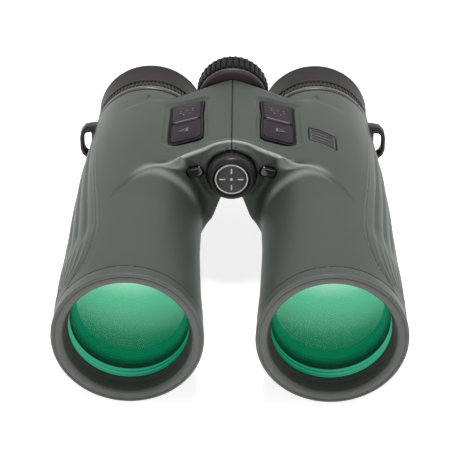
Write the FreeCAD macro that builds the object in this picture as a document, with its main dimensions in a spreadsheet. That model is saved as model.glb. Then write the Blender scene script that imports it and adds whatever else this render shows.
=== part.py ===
"""Hand-held rangefinding roof-prism binoculars, 42 mm class, as a parametric FreeCAD document.

Frame: +X to the right, +Y from the objectives to the eyecups, +Z up, millimetres. The origin is the
middle of the footprint, so the widest open pair lies on the plane Z = 0. "Depth" is the distance
behind a datum plane that lies RimProud behind the front of the objective rims. Each half is drawn from the same functions; side is
-1 for the left half, which carries the hinge, and +1 for the right half, which turns about it.
"""
import FreeCAD, Part
import math
import os
import Sketcher

LEFT, RIGHT = -1, 1
SIDES = {"left": LEFT, "right": RIGHT}

# alias, value in mm (degrees for angles), what it is
DRIVING = [
    ("BarrelSpacing", 73.0, "distance between the optical axes, opened to its widest"),
    ("OverallLength", 183.0, "objective rim to eyecup"),
    ("RimProud", 1.0, "front of the rims ahead of the depth datum"),
    ("RimRadius", 27.4, "outside of the objective rim, and the height of the optical axes"),
    ("RimStep", 0.4, "rim ring standing proud of the armour"),
    ("WaistRadius", 25.8, "armour at the slim part of a barrel"),
    ("WaistDepth", 60.0, "where the slim part is"),
    ("PrismRadius", 26.7, "armour over the prisms"),
    ("PrismStart", 98.0, "front of the prism bulge"),
    ("PrismEnd", 118.0, "rear of the prism bulge"),
    ("TailRadius", 23.8, "armour at its rear edge"),
    ("TailDepth", 155.0, "rear edge of the armour"),
    ("ArmourWall", 2.0, "thickness of the rubber armour"),
    ("HousingWall", 1.3, "wall of the chassis tube"),
    ("RimEnd", 5.0, "rear end of the objective rim ring"),
    ("MouthRadius", 22.6, "clear mouth of the rim ring and tube"),
    ("LensRadius", 21.8, "outside of the objective lenses"),
    ("LensDepth", 7.0, "front edge of the front lens"),
    ("LensEdge", 5.0, "edge thickness of the front lens"),
    ("RearLensRadius", 20.0, "outside of the rear objective lens"),
    ("RearLensDepth", 22.0, "front edge of the rear objective lens"),
    ("RearLensEdge", 3.0, "edge thickness of the rear objective lens"),
    ("TubeWall", 1.0, "wall of the objective tube at its mouth"),
    ("TubeEnd", 40.0, "rear end of the objective tube"),
    ("CellDepth", 52.0, "front face of the focusing cell"),
    ("CellLength", 8.0, "length of the focusing cell"),
    ("CellBoreRadius", 22.1, "bore in which the focusing cell slides"),
    ("FrameWidth", 26.0, "prism frame, across"),
    ("FrameHeight", 30.0, "prism frame, up"),
    ("FrameStart", 78.0, "front of the prism frame"),
    ("FrameLength", 42.0, "length of the prism frame"),
    ("FrameWall", 2.0, "wall of the prism frame"),
    ("HingeHeight", 20.0, "hinge axis above the optical axes"),
    ("HalfFold", 19.5, "angle that each half is cut back below the hinge"),
    ("KnuckleRadius", 9.8, "outside of the hinge knuckles"),
    ("KnuckleGap", 0.3, "clearance round and between the knuckles"),
    ("ShaftRadius", 5.0, "hinge shaft"),
    ("RunningGap", 0.05, "radial clearance of a running fit"),
    ("BridgeStart", 88.0, "front face of the bridge"),
    ("BridgeEnd", 150.0, "rear face of the bridge"),
    ("BridgeRise", 31.0, "top of the bridge at the seam, above the optical axes"),
    ("SeamGap", 0.15, "half of the gap between the halves at the seam"),
    ("FrontKnuckleEnd", 100.0, "rear end of the front knuckle"),
    ("RearKnuckleStart", 128.0, "front end of the rear knuckle"),
    ("SocketRadius", 2.6, "tapping bore of the quarter-inch tripod socket"),
    ("SocketLength", 9.0, "depth of the tripod socket"),
    ("CapRadius", 9.5, "outside of the hinge cap"),
    ("CapDepth", 81.0, "front face of the hinge cap"),
    ("CapWall", 1.2, "wall of the hinge cap"),
    ("WheelStart", 151.0, "front face of the focusing wheel"),
    ("WheelLength", 15.0, "length of the focusing wheel"),
    ("WheelRadius", 15.3, "outside of the focusing wheel"),
    ("WheelCore", 12.6, "core of the focusing wheel"),
    ("ScrewRadius", 2.5, "focusing screw"),
    ("EyepieceRadius", 17.0, "eyepiece tube"),
    ("EyepieceEnd", 174.0, "rear end of the eyepiece tube"),
    ("EyeLensRadius", 12.5, "eye lens"),
    ("FieldLensRadius", 14.6, "field lens"),
    ("RingRadius", 23.7, "diopter ring and the fixed ring opposite"),
    ("RingLength", 3.4, "length of the diopter ring"),
    ("RingGap", 1.6, "gap between armour and diopter ring"),
    ("BandLength", 4.4, "ribbed turning band of the eyecup"),
    ("BandRadius", 23.3, "outside of the turning band"),
    ("CupRadius", 23.5, "outside of the rubber eyecup"),
    ("CupLip", 17.6, "inner edge of the eyecup's lip"),
    ("CoreWall", 2.2, "wall of the eyecup's hard core"),
    ("CupGap", 0.2, "end gap between turning rings"),
    ("PadCentre", 18.7, "middle of a keypad from the seam"),
    ("PadRise", 26.7, "middle of a keypad above the optical axes"),
    ("PadSlope", 16.0, "outward slope of a keypad"),
    ("PadWidth", 14.4, "width of a keypad"),
    ("PadLength", 35.6, "length of a keypad"),
    ("PadDepth", 118.0, "middle of a keypad"),
    ("PadRecess", 3.4, "depth of the key frame"),
    ("KeyMargin", 0.9, "key frame's border"),
    ("KeyGap", 0.25, "clearance round a key"),
    ("KeyProud", 0.5, "key above its frame"),
    ("KeyThick", 2.7, "thickness of a key"),
    ("BoardThick", 1.0, "circuit board"),
    ("BatteryRadius", 7.8, "lithium cell, CR2 size"),
    ("BatteryLength", 27.0, "length of that cell"),
    ("BatteryStart", 117.5, "front end of the cell"),
    ("BatteryAcross", 14.5, "cell axis from the seam"),
    ("BatteryRise", 8.0, "cell axis above the optical axes"),
    ("WindowAcross", 14.4, "middle of a sensor window from the seam"),
    ("WindowRise", 20.0, "middle of a sensor window above the optical axes"),
    ("WindowLength", 7.0, "sensor window, long way"),
    ("WindowHeight", 4.0, "sensor window, short way"),
    ("WindowProud", 1.2, "sensor window in front of the bridge"),
    ("SensorRadius", 3.5, "laser emitter and receiver tubes"),
    ("SensorLength", 12.0, "length of those tubes"),
    ("LugReach", 66.2, "outer edge of a strap lug from the middle"),
    ("LugRise", 1.2, "middle of a strap lug above the optical axes"),
    ("LugThick", 5.0, "strap lug along the barrel"),
    ("LugDepth", 147.0, "front face of a strap lug"),
    ("LugBar", 1.7, "bar of the strap lug outside its slot"),
    ("LugSlotWidth", 3.4, "slot of the strap lug, across"),
    ("LugSlotHeight", 10.5, "slot of the strap lug, up"),
    ("BadgeWidth", 10.6, "badge plate, across"),
    ("BadgeLength", 10.6, "badge plate, along"),
    ("BadgeDepth", 104.0, "middle of the badge plate"),
    ("BadgeSkew", 0.85, "how far the badge's ends run forward for each millimetre outward"),
    ("BadgeRecess", 1.6, "depth of the badge's recess"),
]


class Size:
    """A number together with the spreadsheet expression that gives it."""

    def __init__(self, value, text):
        self.value = float(value)
        self.text = text

    @staticmethod
    def of(thing):
        return thing if isinstance(thing, Size) else Size(thing, repr(float(thing)))

    def __add__(self, other):
        other = Size.of(other)
        return Size(self.value + other.value, f"({self.text} + {other.text})")

    def __sub__(self, other):
        other = Size.of(other)
        return Size(self.value - other.value, f"({self.text} - {other.text})")

    def __mul__(self, other):
        other = Size.of(other)
        return Size(self.value * other.value, f"({self.text} * {other.text})")

    def __truediv__(self, other):
        other = Size.of(other)
        return Size(self.value / other.value, f"({self.text} / {other.text})")

    def __neg__(self):
        return self * -1

    def __radd__(self, other):
        return Size.of(other) + self

    def __rsub__(self, other):
        return Size.of(other) - self

    __rmul__ = __mul__

    def tan(self):
        return Size(math.tan(math.radians(self.value)), f"tan({self.text})")


class Sizes:
    """The driving dimensions by name, each one a cell of the spreadsheet."""

    def __init__(self, document):
        self.sheet = document.addObject("Spreadsheet::Sheet", "Sizes")
        for row, (alias, value, note) in enumerate(DRIVING, start=1):
            self.sheet.set(f"A{row}", alias)
            self.sheet.set(f"B{row}", str(value))
            self.sheet.setAlias(f"B{row}", alias)
            self.sheet.set(f"C{row}", note)
            setattr(self, alias, Size(value, f"Sizes.{alias}"))
        document.recompute()


doc = FreeCAD.newDocument("binoculars")
dim = Sizes(doc)
nodes = {}
ZERO = Size.of(0)
ALONG_Y = FreeCAD.Rotation(FreeCAD.Vector(1, 0, 0), -90)


# ---------------------------------------------------------------- drawing helpers
def bind(thing, prop, size):
    """Set a property from a size and keep it tied to the spreadsheet."""
    thing.setExpression(prop, Size.of(size).text)


def at(thing, x, y, z, rotation=None):
    """Place an object, its base point tied to the spreadsheet."""
    thing.Placement = FreeCAD.Placement(
        FreeCAD.Vector(Size.of(x).value, Size.of(y).value, Size.of(z).value),
        rotation or FreeCAD.Rotation(),
    )
    for letter, size in (("x", x), ("y", y), ("z", z)):
        bind(thing, f".Placement.Base.{letter}", size)
    return thing


def depth(size):
    """The Y coordinate of a depth behind the datum plane."""
    return Size.of(size) + dim.RimProud - dim.OverallLength / 2


def height(size):
    """The Z coordinate of a height above the optical axes."""
    return Size.of(size) + dim.RimRadius


def barrel_x(side):
    return dim.BarrelSpacing * (side / 2)


def outline_sketch(body, plane, points):
    """A closed outline of straight lines whose corners are tied to sizes."""
    origin_plane = [f for f in body.Origin.OriginFeatures if f.Role == plane][0]
    sketch = body.newObject("Sketcher::SketchObject", body.Name + "_outline")
    sketch.AttachmentSupport = [(origin_plane, "")]
    sketch.MapMode = "FlatFace"
    sized = [(Size.of(a), Size.of(b)) for a, b in points]
    corners = [FreeCAD.Vector(a.value, b.value, 0) for a, b in sized]
    count = len(corners)
    for i in range(count):
        sketch.addGeometry(Part.LineSegment(corners[i], corners[(i + 1) % count]), False)
    for i in range(count):
        sketch.addConstraint(Sketcher.Constraint("Coincident", i, 2, (i + 1) % count, 1))
    for i, (a, b) in enumerate(sized):
        for kind, size, axis in (("DistanceX", a, -2), ("DistanceY", b, -1)):
            if size.text == ZERO.text:
                sketch.addConstraint(Sketcher.Constraint("PointOnObject", i, 1, axis))
            else:
                index = sketch.addConstraint(Sketcher.Constraint(kind, -1, 1, i, 1, size.value))
                sketch.setExpression(f"Constraints[{index}]", size.text)
    return sketch


def turned(name, points, x, z):
    """A body turned about an axis along Y; points are (radius, depth)."""
    body = doc.addObject("PartDesign::Body", name)
    sketch = outline_sketch(body, "XY_Plane", points)
    feature = body.newObject("PartDesign::Revolution", name + "_turn")
    feature.Profile = sketch
    feature.ReferenceAxis = (sketch, ["V_Axis"])
    feature.Angle = 360
    return at(body, x, depth(0), z)


def padded(name, points, start, length):
    """A body whose outline in X and height is carried along Y from a depth."""
    body = doc.addObject("PartDesign::Body", name)
    sketch = outline_sketch(body, "XZ_Plane", points)
    feature = body.newObject("PartDesign::Pad", name + "_pad")
    feature.Profile = sketch
    feature.Reversed = True
    bind(feature, "Length", length)
    return at(body, ZERO, depth(start), height(0))


def side_padded(name, points, width, x):
    """A body whose outline in depth and height is carried along X, centred on x."""
    body = doc.addObject("PartDesign::Body", name)
    sketch = outline_sketch(body, "YZ_Plane", points)
    feature = body.newObject("PartDesign::Pad", name + "_pad")
    feature.Profile = sketch
    feature.Midplane = True
    bind(feature, "Length", width)
    return at(body, x, depth(0), height(0))


def top_padded(name, points, thick, x, y, z):
    """A body whose outline in X and Y is carried upwards from a point."""
    body = doc.addObject("PartDesign::Body", name)
    sketch = outline_sketch(body, "XY_Plane", points)
    feature = body.newObject("PartDesign::Pad", name + "_pad")
    feature.Profile = sketch
    bind(feature, "Length", thick)
    return at(body, x, y, z)


def rod(name, radius, start, length, x, z):
    """A plain cylinder along Y from a depth."""
    thing = doc.addObject("Part::Cylinder", name)
    bind(thing, "Radius", radius)
    bind(thing, "Height", length)
    return at(thing, x, depth(start), z, ALONG_Y)


def ball(name, radius, centre_depth, x, z):
    thing = doc.addObject("Part::Sphere", name)
    bind(thing, "Radius", radius)
    return at(thing, x, depth(centre_depth), z)


def block(name, size_xyz, corner_xyz):
    """A box from its lowest corner."""
    thing = doc.addObject("Part::Box", name)
    for prop, size in zip(("Length", "Width", "Height"), size_xyz):
        bind(thing, prop, size)
    return at(thing, *corner_xyz)


def joined(name, *shapes):
    thing = doc.addObject("Part::MultiFuse", name)
    thing.Shapes = list(shapes)
    return thing


def shared(name, *shapes):
    thing = doc.addObject("Part::MultiCommon", name)
    thing.Shapes = list(shapes)
    return thing


def less(name, base, *tools):
    """The base with one tool or several taken away."""
    thing = doc.addObject("Part::Cut", name)
    thing.Base = base
    thing.Tool = tools[0] if len(tools) == 1 else joined(name + "_tools", *tools)
    return thing


def node(name, thing):
    """Name a finished sub-part."""
    thing.Label = name
    nodes[name] = thing
    return thing


def copy_of(name, source):
    """The same shape again, for a second boolean."""
    thing = doc.addObject("Part::Compound", name)
    thing.Links = [source]
    return thing


# ---------------------------------------------------------------- lenses
def lens(name, radius, edge_start, edge_length, x, z, front=None, rear=None):
    """A round lens. A positive front or rear radius bulges outwards, a negative one is hollow."""
    radius = Size.of(radius)
    stock_start, stock_length = Size.of(edge_start), Size.of(edge_length)
    bulges, hollows = [], []
    for curve, facing in ((front, 1), (rear, -1)):
        if curve is None:
            continue
        edge = stock_start if facing == 1 else stock_start + stock_length
        reach = math.sqrt(curve**2 - radius.value**2)
        reach = Size(reach, f"sqrt({curve}^2 - ({radius.text})^2)")
        if curve > 0:
            bulges.append(ball(f"{name}_bulge{facing + 1}", abs(curve), edge + reach * facing, x, z))
        else:
            hollows.append(ball(f"{name}_hollow{facing + 1}", abs(curve), edge - reach * facing, x, z))
    crown = 4.0
    start = stock_start - (crown if front and front > 0 else 0)
    end = stock_start + stock_length + (crown if rear and rear > 0 else 0)
    shape = rod(name + "_stock", radius, start, end - start, x, z)
    if bulges:
        shape = shared(name + "_shape", shape, *bulges)
    if hollows:
        shape = less(name + "_ground", shape, *hollows)
    return node(name, shape)


# ---------------------------------------------------------------- barrel and bridge, one half
def skin_profile(inset):
    """The barrel's outline as (radius, depth), set in from the armour's surface."""
    start = dim.RimEnd
    return [
        (ZERO, start),
        (dim.RimRadius - dim.RimStep - inset, start),
        (dim.RimRadius - dim.RimStep - inset, start + 7.0),
        (dim.WaistRadius + 0.7 - inset, dim.WaistDepth - 30.0),
        (dim.WaistRadius - inset, dim.WaistDepth),
        (dim.PrismRadius - inset, dim.PrismStart),
        (dim.PrismRadius - inset, dim.PrismEnd),
        (dim.TailRadius + 1.6 - inset, dim.TailDepth - 16.0),
        (dim.TailRadius - inset, dim.TailDepth),
        (ZERO, dim.TailDepth),
    ]


def web_profile(side, inset):
    """The bridge's outline across one half as (x, height above the optical axes)."""
    cut_back = dim.HalfFold.tan()
    seam = dim.SeamGap + inset
    floor = Size.of(-1.6) + inset
    inner = (dim.HingeHeight - floor) * cut_back + dim.SeamGap + inset
    pad_edge = dim.PadCentre + dim.PadWidth / 2 + 1.0
    corners = [
        (seam, dim.BridgeRise - inset),
        (dim.PadCentre - dim.PadWidth / 2 - 1.0, dim.BridgeRise - 1.2 - inset),
        (pad_edge, dim.PadRise - 2.2 - inset),
        (dim.BarrelSpacing / 2, dim.PrismRadius - inset),
        (dim.BarrelSpacing / 2, -12.0 + inset),
        (dim.BarrelSpacing / 2 - 16.5, -12.0 + inset),
        (inner + 4.6, -3.0 + inset),
        (inner, floor),
        (seam, dim.HingeHeight),
    ]
    return [(x * side, z) for x, z in corners]


def build_half(word, side):
    x, z = barrel_x(side), height(0)
    hinge_z = height(dim.HingeHeight)
    bridge_length = dim.BridgeEnd - dim.BridgeStart

    # the chassis without its armour, and the same form with it
    core = joined(
        f"{word}_core",
        turned(f"{word}_core_barrel", skin_profile(dim.ArmourWall), x, z),
        padded(
            f"{word}_core_web",
            web_profile(side, dim.ArmourWall),
            dim.BridgeStart + dim.ArmourWall,
            bridge_length - dim.ArmourWall * 2,
        ),
    )
    skin = joined(
        f"{word}_skin",
        turned(f"{word}_skin_barrel", skin_profile(0.0), x, z),
        padded(f"{word}_skin_web", web_profile(side, 0.0), dim.BridgeStart, bridge_length),
    )

    # keypad: a sloping recess, its frame, two keys
    turn = FreeCAD.Rotation(FreeCAD.Vector(0, 1, 0), side * dim.PadSlope.value)
    pad_at = (dim.PadCentre * side, depth(dim.PadDepth), height(dim.PadRise))

    def on_pad(name, width, length, thick, across, along, low):
        """A box in the keypad's own sloping frame, from its middle and its lower face."""
        box = doc.addObject("Part::Box", name)
        for prop, size in (("Length", width), ("Width", length), ("Height", thick)):
            bind(box, prop, size)
        at(box, Size.of(across) - Size.of(width) / 2, Size.of(along) - Size.of(length) / 2, low)
        holder = copy_of(name + "_placed", box)
        at(holder, *pad_at, rotation=turn)
        return holder

    frame_low = -dim.PadRecess
    half_bar = dim.KeyMargin * 0.8
    key_room = (dim.PadLength - dim.KeyMargin * 2 - half_bar * 2) / 2
    key_along = half_bar + key_room / 2
    key_width = dim.PadWidth - dim.KeyMargin * 2
    recess = on_pad(f"{word}_recess", dim.PadWidth, dim.PadLength, dim.PadRecess + 6.0, 0.0, 0.0, frame_low)
    frame_block = on_pad(f"{word}_frame_block", dim.PadWidth, dim.PadLength, dim.PadRecess, 0.0, 0.0, frame_low)
    frame_holes = [
        on_pad(f"{word}_{n}_hole", key_width, key_room, dim.PadRecess + 2.0, 0.0, key_along * way, frame_low - 1.0)
        for n, way in (("rear_key", 1), ("front_key", -1))
    ]
    node(f"{word}_key_frame", less(f"{word}_key_frame", frame_block, *frame_holes))
    for n, way in (("rear_key", 1), ("front_key", -1)):
        key = on_pad(
            f"{word}_{n}_block",
            key_width - dim.KeyGap * 2,
            key_room - dim.KeyGap * 2,
            dim.KeyThick,
            0.0,
            key_along * way,
            dim.KeyProud - dim.KeyThick,
        )
        node(f"{word}_{n}", key)
    board_room = on_pad(
        f"{word}_board_room",
        dim.PadWidth - 2.4,
        dim.PadLength - 3.6,
        dim.BoardThick + 1.0,
        0.0,
        0.0,
        frame_low - dim.BoardThick,
    )
    if side == RIGHT:
        board = on_pad(
            "circuit_board_block",
            dim.PadWidth - 2.8,
            dim.PadLength - 4.0,
            dim.BoardThick,
            0.0,
            0.0,
            frame_low - dim.BoardThick,
        )
        node("circuit_board", board)

    # strap lug: a slotted bar whose foot stands on the chassis
    slot_out = dim.LugReach - dim.LugBar
    slot_in = slot_out - dim.LugSlotWidth
    half_slot = dim.LugSlotHeight / 2
    middle = dim.LugRise
    foot = slot_in - 6.0
    lug_outline = [
        (foot, middle - half_slot - 3.4),
        (slot_out - 0.6, middle - half_slot - 1.6),
        (dim.LugReach, middle - half_slot + 0.4),
        (dim.LugReach, middle + half_slot - 0.4),
        (slot_out - 0.6, middle + half_slot + 1.6),
        (foot, middle + half_slot + 3.4),
    ]
    lug_bar = padded(f"{word}_lug_bar", [(a * side, b) for a, b in lug_outline], dim.LugDepth, dim.LugThick)
    slot_low = slot_in if side == RIGHT else -slot_out
    lug_slot = block(
        f"{word}_lug_slot",
        (dim.LugSlotWidth, dim.LugThick + 2.0, dim.LugSlotHeight),
        (slot_low, depth(dim.LugDepth - 1.0), height(middle - half_slot)),
    )
    lug = node(f"{word}_strap_lug", less(f"{word}_strap_lug", lug_bar, lug_slot, copy_of(f"{word}_lug_core", core)))

    # sensor window in the bridge's front face and the tube behind it
    half_long = (dim.WindowLength - dim.WindowHeight) / 2
    window_z = height(dim.WindowRise)
    window_start = dim.BridgeStart - dim.WindowProud
    window_thick = dim.WindowProud + dim.ArmourWall
    window_parts = [
        rod(
            f"{word}_window_end{i}",
            dim.WindowHeight / 2,
            window_start,
            window_thick,
            dim.WindowAcross * side + half_long * way,
            window_z,
        )
        for i, way in enumerate((-1, 1))
    ]
    window_parts.append(
        block(
            f"{word}_window_middle",
            (half_long * 2, window_thick, dim.WindowHeight),
            (dim.WindowAcross * side - half_long, depth(window_start), window_z - dim.WindowHeight / 2),
        )
    )
    window = node(f"{word}_front_window", joined(f"{word}_front_window", *window_parts))
    sensor_start = window_start + window_thick
    sensor_name = {LEFT: "laser_receiver", RIGHT: "laser_emitter"}[side]
    sensor = node(
        sensor_name,
        rod(sensor_name, dim.SensorRadius, sensor_start, dim.SensorLength, dim.WindowAcross * side, window_z),
    )

    # knuckles: the left half holds the front and rear ones, the right half the middle one
    gap = dim.KnuckleGap
    own, other = {
        LEFT: (("front", "rear"), ("middle",)),
        RIGHT: (("middle",), ("front", "rear")),
    }[side]
    spans = {
        "front": (dim.BridgeStart + 0.4, dim.FrontKnuckleEnd),
        "middle": (dim.FrontKnuckleEnd + gap, dim.RearKnuckleStart - gap),
        "rear": (dim.RearKnuckleStart, dim.BridgeEnd - 0.4),
    }
    knuckles = [
        rod(f"{word}_{k}_knuckle", dim.KnuckleRadius, spans[k][0], spans[k][1] - spans[k][0], ZERO, hinge_z)
        for k in own
    ]
    clear_radius = dim.KnuckleRadius + gap
    clearances = []
    for k in other:
        start, end = spans[k][0] - gap, spans[k][1] + gap
        if k == "front":
            start = dim.BridgeStart - 1.0
        if k == "rear":
            end = dim.BridgeEnd + 1.0
        clearances.append(rod(f"{word}_{k}_room", clear_radius, start, end - start, ZERO, hinge_z))
    shaft_room = rod(
        f"{word}_shaft_room",
        dim.ShaftRadius + dim.RunningGap,
        dim.BridgeStart - 2.0,
        bridge_length + 4.0,
        ZERO,
        hinge_z,
    )

    # chassis: the core, hollowed
    wall = dim.ArmourWall + dim.HousingWall
    bore = turned(
        f"{word}_bore",
        [
            (ZERO, dim.RimEnd - 1.0),
            (dim.MouthRadius + dim.TubeWall + dim.RunningGap, dim.RimEnd - 1.0),
            (dim.MouthRadius + dim.TubeWall + dim.RunningGap, dim.TubeEnd),
            (dim.CellBoreRadius + dim.RunningGap, dim.TubeEnd),
            (dim.CellBoreRadius + dim.RunningGap, dim.FrameStart - 8.0),
            (dim.PrismRadius - wall - 0.6, dim.FrameStart + 8.0),
            (dim.PrismRadius - wall - 0.6, dim.PrismEnd),
            (dim.TailRadius - wall, dim.TailDepth - 14.0),
            (dim.EyepieceRadius + dim.RunningGap, dim.TailDepth - 12.0),
            (dim.EyepieceRadius + dim.RunningGap, dim.TailDepth + 1.0),
            (ZERO, dim.TailDepth + 1.0),
        ],
        x,
        z,
    )
    shell = less(f"{word}_shell", core, bore)
    # blocks that carry the prism frame inside the round bore
    rest_width = Size.of(8.0)
    rests = shared(
        f"{word}_rests",
        joined(
            f"{word}_rest_blocks",
            *[
                block(
                    f"{word}_rest{i}",
                    (rest_width, dim.FrameLength - 12.0, Size.of(14.0)),
                    (
                        x - rest_width / 2,
                        depth(dim.FrameStart + 6.0),
                        z + (dim.FrameHeight / 2 if up == 1 else -dim.FrameHeight / 2 - 14.0),
                    ),
                )
                for i, up in enumerate((-1, 1))
            ],
        ),
        turned(f"{word}_rest_limit", skin_profile(dim.ArmourWall + 0.4), x, z),
    )
    sensor_room = rod(
        f"{word}_sensor_room",
        dim.SensorRadius,
        sensor_start - 1.0,
        dim.SensorLength + 1.0,
        dim.WindowAcross * side,
        window_z,
    )
    rooms = clearances + [shaft_room, copy_of(f"{word}_recess_b", recess), board_room, sensor_room, window]

    battery_x, battery_z = dim.BatteryAcross * side, height(dim.BatteryRise)
    additions = [shell, rests, *knuckles]
    skin_rooms = list(clearances)
    if side == LEFT:
        cell_room = dim.BatteryRadius + 0.1
        sleeve = shared(
            "battery_sleeve",
            rod(
                "battery_sleeve_rod",
                cell_room + 1.0,
                dim.BatteryStart - 1.2,
                dim.BatteryLength + 2.4,
                battery_x,
                battery_z,
            ),
            copy_of("battery_sleeve_limit", core),
        )
        additions.append(sleeve)
        hatch_block = block(
            "battery_hatch_block",
            (cell_room * 2 - 0.2, dim.BatteryLength, Size.of(14.0)),
            (battery_x - cell_room + 0.1, depth(dim.BatteryStart + 0.1), battery_z - 22.0),
        )
        cell_space = rod(
            "battery_room", cell_room, dim.BatteryStart - 0.1, dim.BatteryLength + 0.3, battery_x, battery_z
        )
        hatch_space = block(
            "battery_hatch_room",
            (cell_room * 2, dim.BatteryLength + 0.3, Size.of(22.0)),
            (battery_x - cell_room, depth(dim.BatteryStart - 0.1), battery_z - 22.0),
        )
        rooms += [cell_space, hatch_space]
        skin_rooms.append(copy_of("battery_hatch_room_skin", hatch_space))
        node(
            "battery",
            rod("battery", dim.BatteryRadius, dim.BatteryStart, dim.BatteryLength, battery_x, battery_z),
        )
        hatch = shared("battery_hatch_solid", hatch_block, copy_of("battery_hatch_skin", skin))
        hatch_bore = turned("battery_hatch_bore", skin_profile(dim.ArmourWall + dim.HousingWall), x, z)
        node("battery_hatch", less("battery_hatch", hatch, hatch_bore))
    housing = less(f"{word}_housing", joined(f"{word}_chassis", *additions), *rooms)
    node(f"{word}_housing", housing)

    # armour: the skin without the core
    tools = [
        core,
        copy_of(f"{word}_recess_c", recess),
        copy_of(f"{word}_window_b", window),
        copy_of(f"{word}_lug_b", lug),
        copy_of(f"{word}_shaft_room_b", shaft_room),
        *[copy_of(f"{word}_knuckle_b{i}", k) for i, k in enumerate(knuckles)],
        *[copy_of(f"{word}_skin_room{i}", r) for i, r in enumerate(skin_rooms)],
    ]
    if side == RIGHT:
        badge_space, badge = build_badge(x, z)
        tools.append(badge_space)
        node("badge_plate", badge)
    node(f"{word}_armour", less(f"{word}_armour", skin, *tools))


def build_badge(x, z):
    """A plain plate let into the top of the right barrel, ahead of the keypad."""
    half_width, half_length = dim.BadgeWidth / 2, dim.BadgeLength / 2
    lean = half_width * dim.BadgeSkew
    outline = [
        (-half_width, lean - half_length),
        (half_width, -lean - half_length),
        (half_width, half_length - lean),
        (-half_width, lean + half_length),
    ]
    floor = z + dim.PrismRadius - dim.BadgeRecess
    room = Size.of(6.0)
    space = top_padded("badge_space", outline, room, x, depth(dim.BadgeDepth), floor)
    plate = top_padded("badge_block", outline, room, x, depth(dim.BadgeDepth), floor)
    reach = dim.BadgeLength + lean * 2
    limit = rod("badge_limit", dim.PrismRadius + 0.2, dim.BadgeDepth - reach / 2, reach, x, z)
    return space, shared("badge_plate", plate, limit)


# ---------------------------------------------------------------- optics of one barrel
def build_optics(word, side):
    x, z = barrel_x(side), height(0)
    tube_radius = dim.MouthRadius + dim.TubeWall
    seat, rear_seat = dim.LensRadius + 0.02, dim.RearLensRadius + 0.02
    lens_end = dim.LensDepth + dim.LensEdge + 0.02
    rear_end = dim.RearLensDepth + dim.RearLensEdge + 0.02
    node(
        f"{word}_rim_ring",
        turned(
            f"{word}_rim_ring",
            [
                (dim.MouthRadius, dim.RimEnd),
                (dim.MouthRadius, -dim.RimProud + 1.6),
                (dim.MouthRadius + 0.9, -dim.RimProud),
                (dim.RimRadius - 0.9, -dim.RimProud),
                (dim.RimRadius, -dim.RimProud + 0.9),
                (dim.RimRadius, dim.RimEnd),
            ],
            x,
            z,
        ),
    )
    node(
        f"{word}_objective_tube",
        turned(
            f"{word}_objective_tube",
            [
                (dim.MouthRadius, dim.RimEnd),
                (tube_radius, dim.RimEnd),
                (tube_radius, dim.TubeEnd),
                (rear_seat - 1.2, dim.TubeEnd),
                (rear_seat - 1.2, rear_end),
                (rear_seat, rear_end),
                (rear_seat, dim.RearLensDepth),
                (seat - 1.0, lens_end),
                (seat, lens_end),
                (seat, dim.LensDepth),
                (dim.MouthRadius, dim.LensDepth - 1.6),
            ],
            x,
            z,
        ),
    )
    lens(f"{word}_objective_lens", dim.LensRadius, dim.LensDepth, dim.LensEdge, x, z, front=140.0)
    lens(
        f"{word}_objective_rear_lens", dim.RearLensRadius, dim.RearLensDepth, dim.RearLensEdge, x, z, front=-160.0
    )

    cell_inner = Size.of(16.0)
    node(
        f"{word}_focus_cell",
        turned(
            f"{word}_focus_cell",
            [
                (cell_inner, dim.CellDepth),
                (dim.CellBoreRadius, dim.CellDepth),
                (dim.CellBoreRadius, dim.CellDepth + dim.CellLength),
                (cell_inner - 1.5, dim.CellDepth + dim.CellLength),
                (cell_inner - 1.5, dim.CellDepth + dim.CellLength - 1.5),
                (cell_inner, dim.CellDepth + dim.CellLength - 1.5),
            ],
            x,
            z,
        ),
    )
    lens(
        f"{word}_focus_lens",
        cell_inner - 0.02,
        dim.CellDepth + 1.5,
        dim.CellLength - 3.0,
        x,
        z,
        front=-70.0,
        rear=None,
    )

    # prism frame: a box open at both ends, holding two prisms of a roof pair
    frame = less(
        f"{word}_prism_frame",
        block(
            f"{word}_frame_outer",
            (dim.FrameWidth, dim.FrameLength, dim.FrameHeight),
            (x - dim.FrameWidth / 2, depth(dim.FrameStart), z - dim.FrameHeight / 2),
        ),
        block(
            f"{word}_frame_inner",
            (dim.FrameWidth - dim.FrameWall * 2, dim.FrameLength + 2.0, dim.FrameHeight - dim.FrameWall * 2),
            (
                x - dim.FrameWidth / 2 + dim.FrameWall,
                depth(dim.FrameStart - 1.0),
                z - dim.FrameHeight / 2 + dim.FrameWall,
            ),
        ),
    )
    node(f"{word}_prism_frame", frame)
    glass_width = dim.FrameWidth - dim.FrameWall * 2
    top = dim.FrameHeight / 2 - dim.FrameWall
    front, rear = dim.FrameStart + 2.0, dim.FrameStart + dim.FrameLength - 2.0
    split = dim.FrameStart + dim.FrameLength / 2
    node(
        f"{word}_penta_prism",
        side_padded(
            f"{word}_penta_prism",
            [(front, -top), (front, top * 0.7), (front + 6.0, top), (split + 4.0, top), (split - 9.0, -top)],
            glass_width,
            x,
        ),
    )
    node(
        f"{word}_roof_prism",
        side_padded(
            f"{word}_roof_prism",
            [(split - 8.0, -top), (split + 5.0, top), (rear - 4.0, top), (rear, top * 0.4), (rear, -top)],
            glass_width,
            x,
        ),
    )


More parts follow.
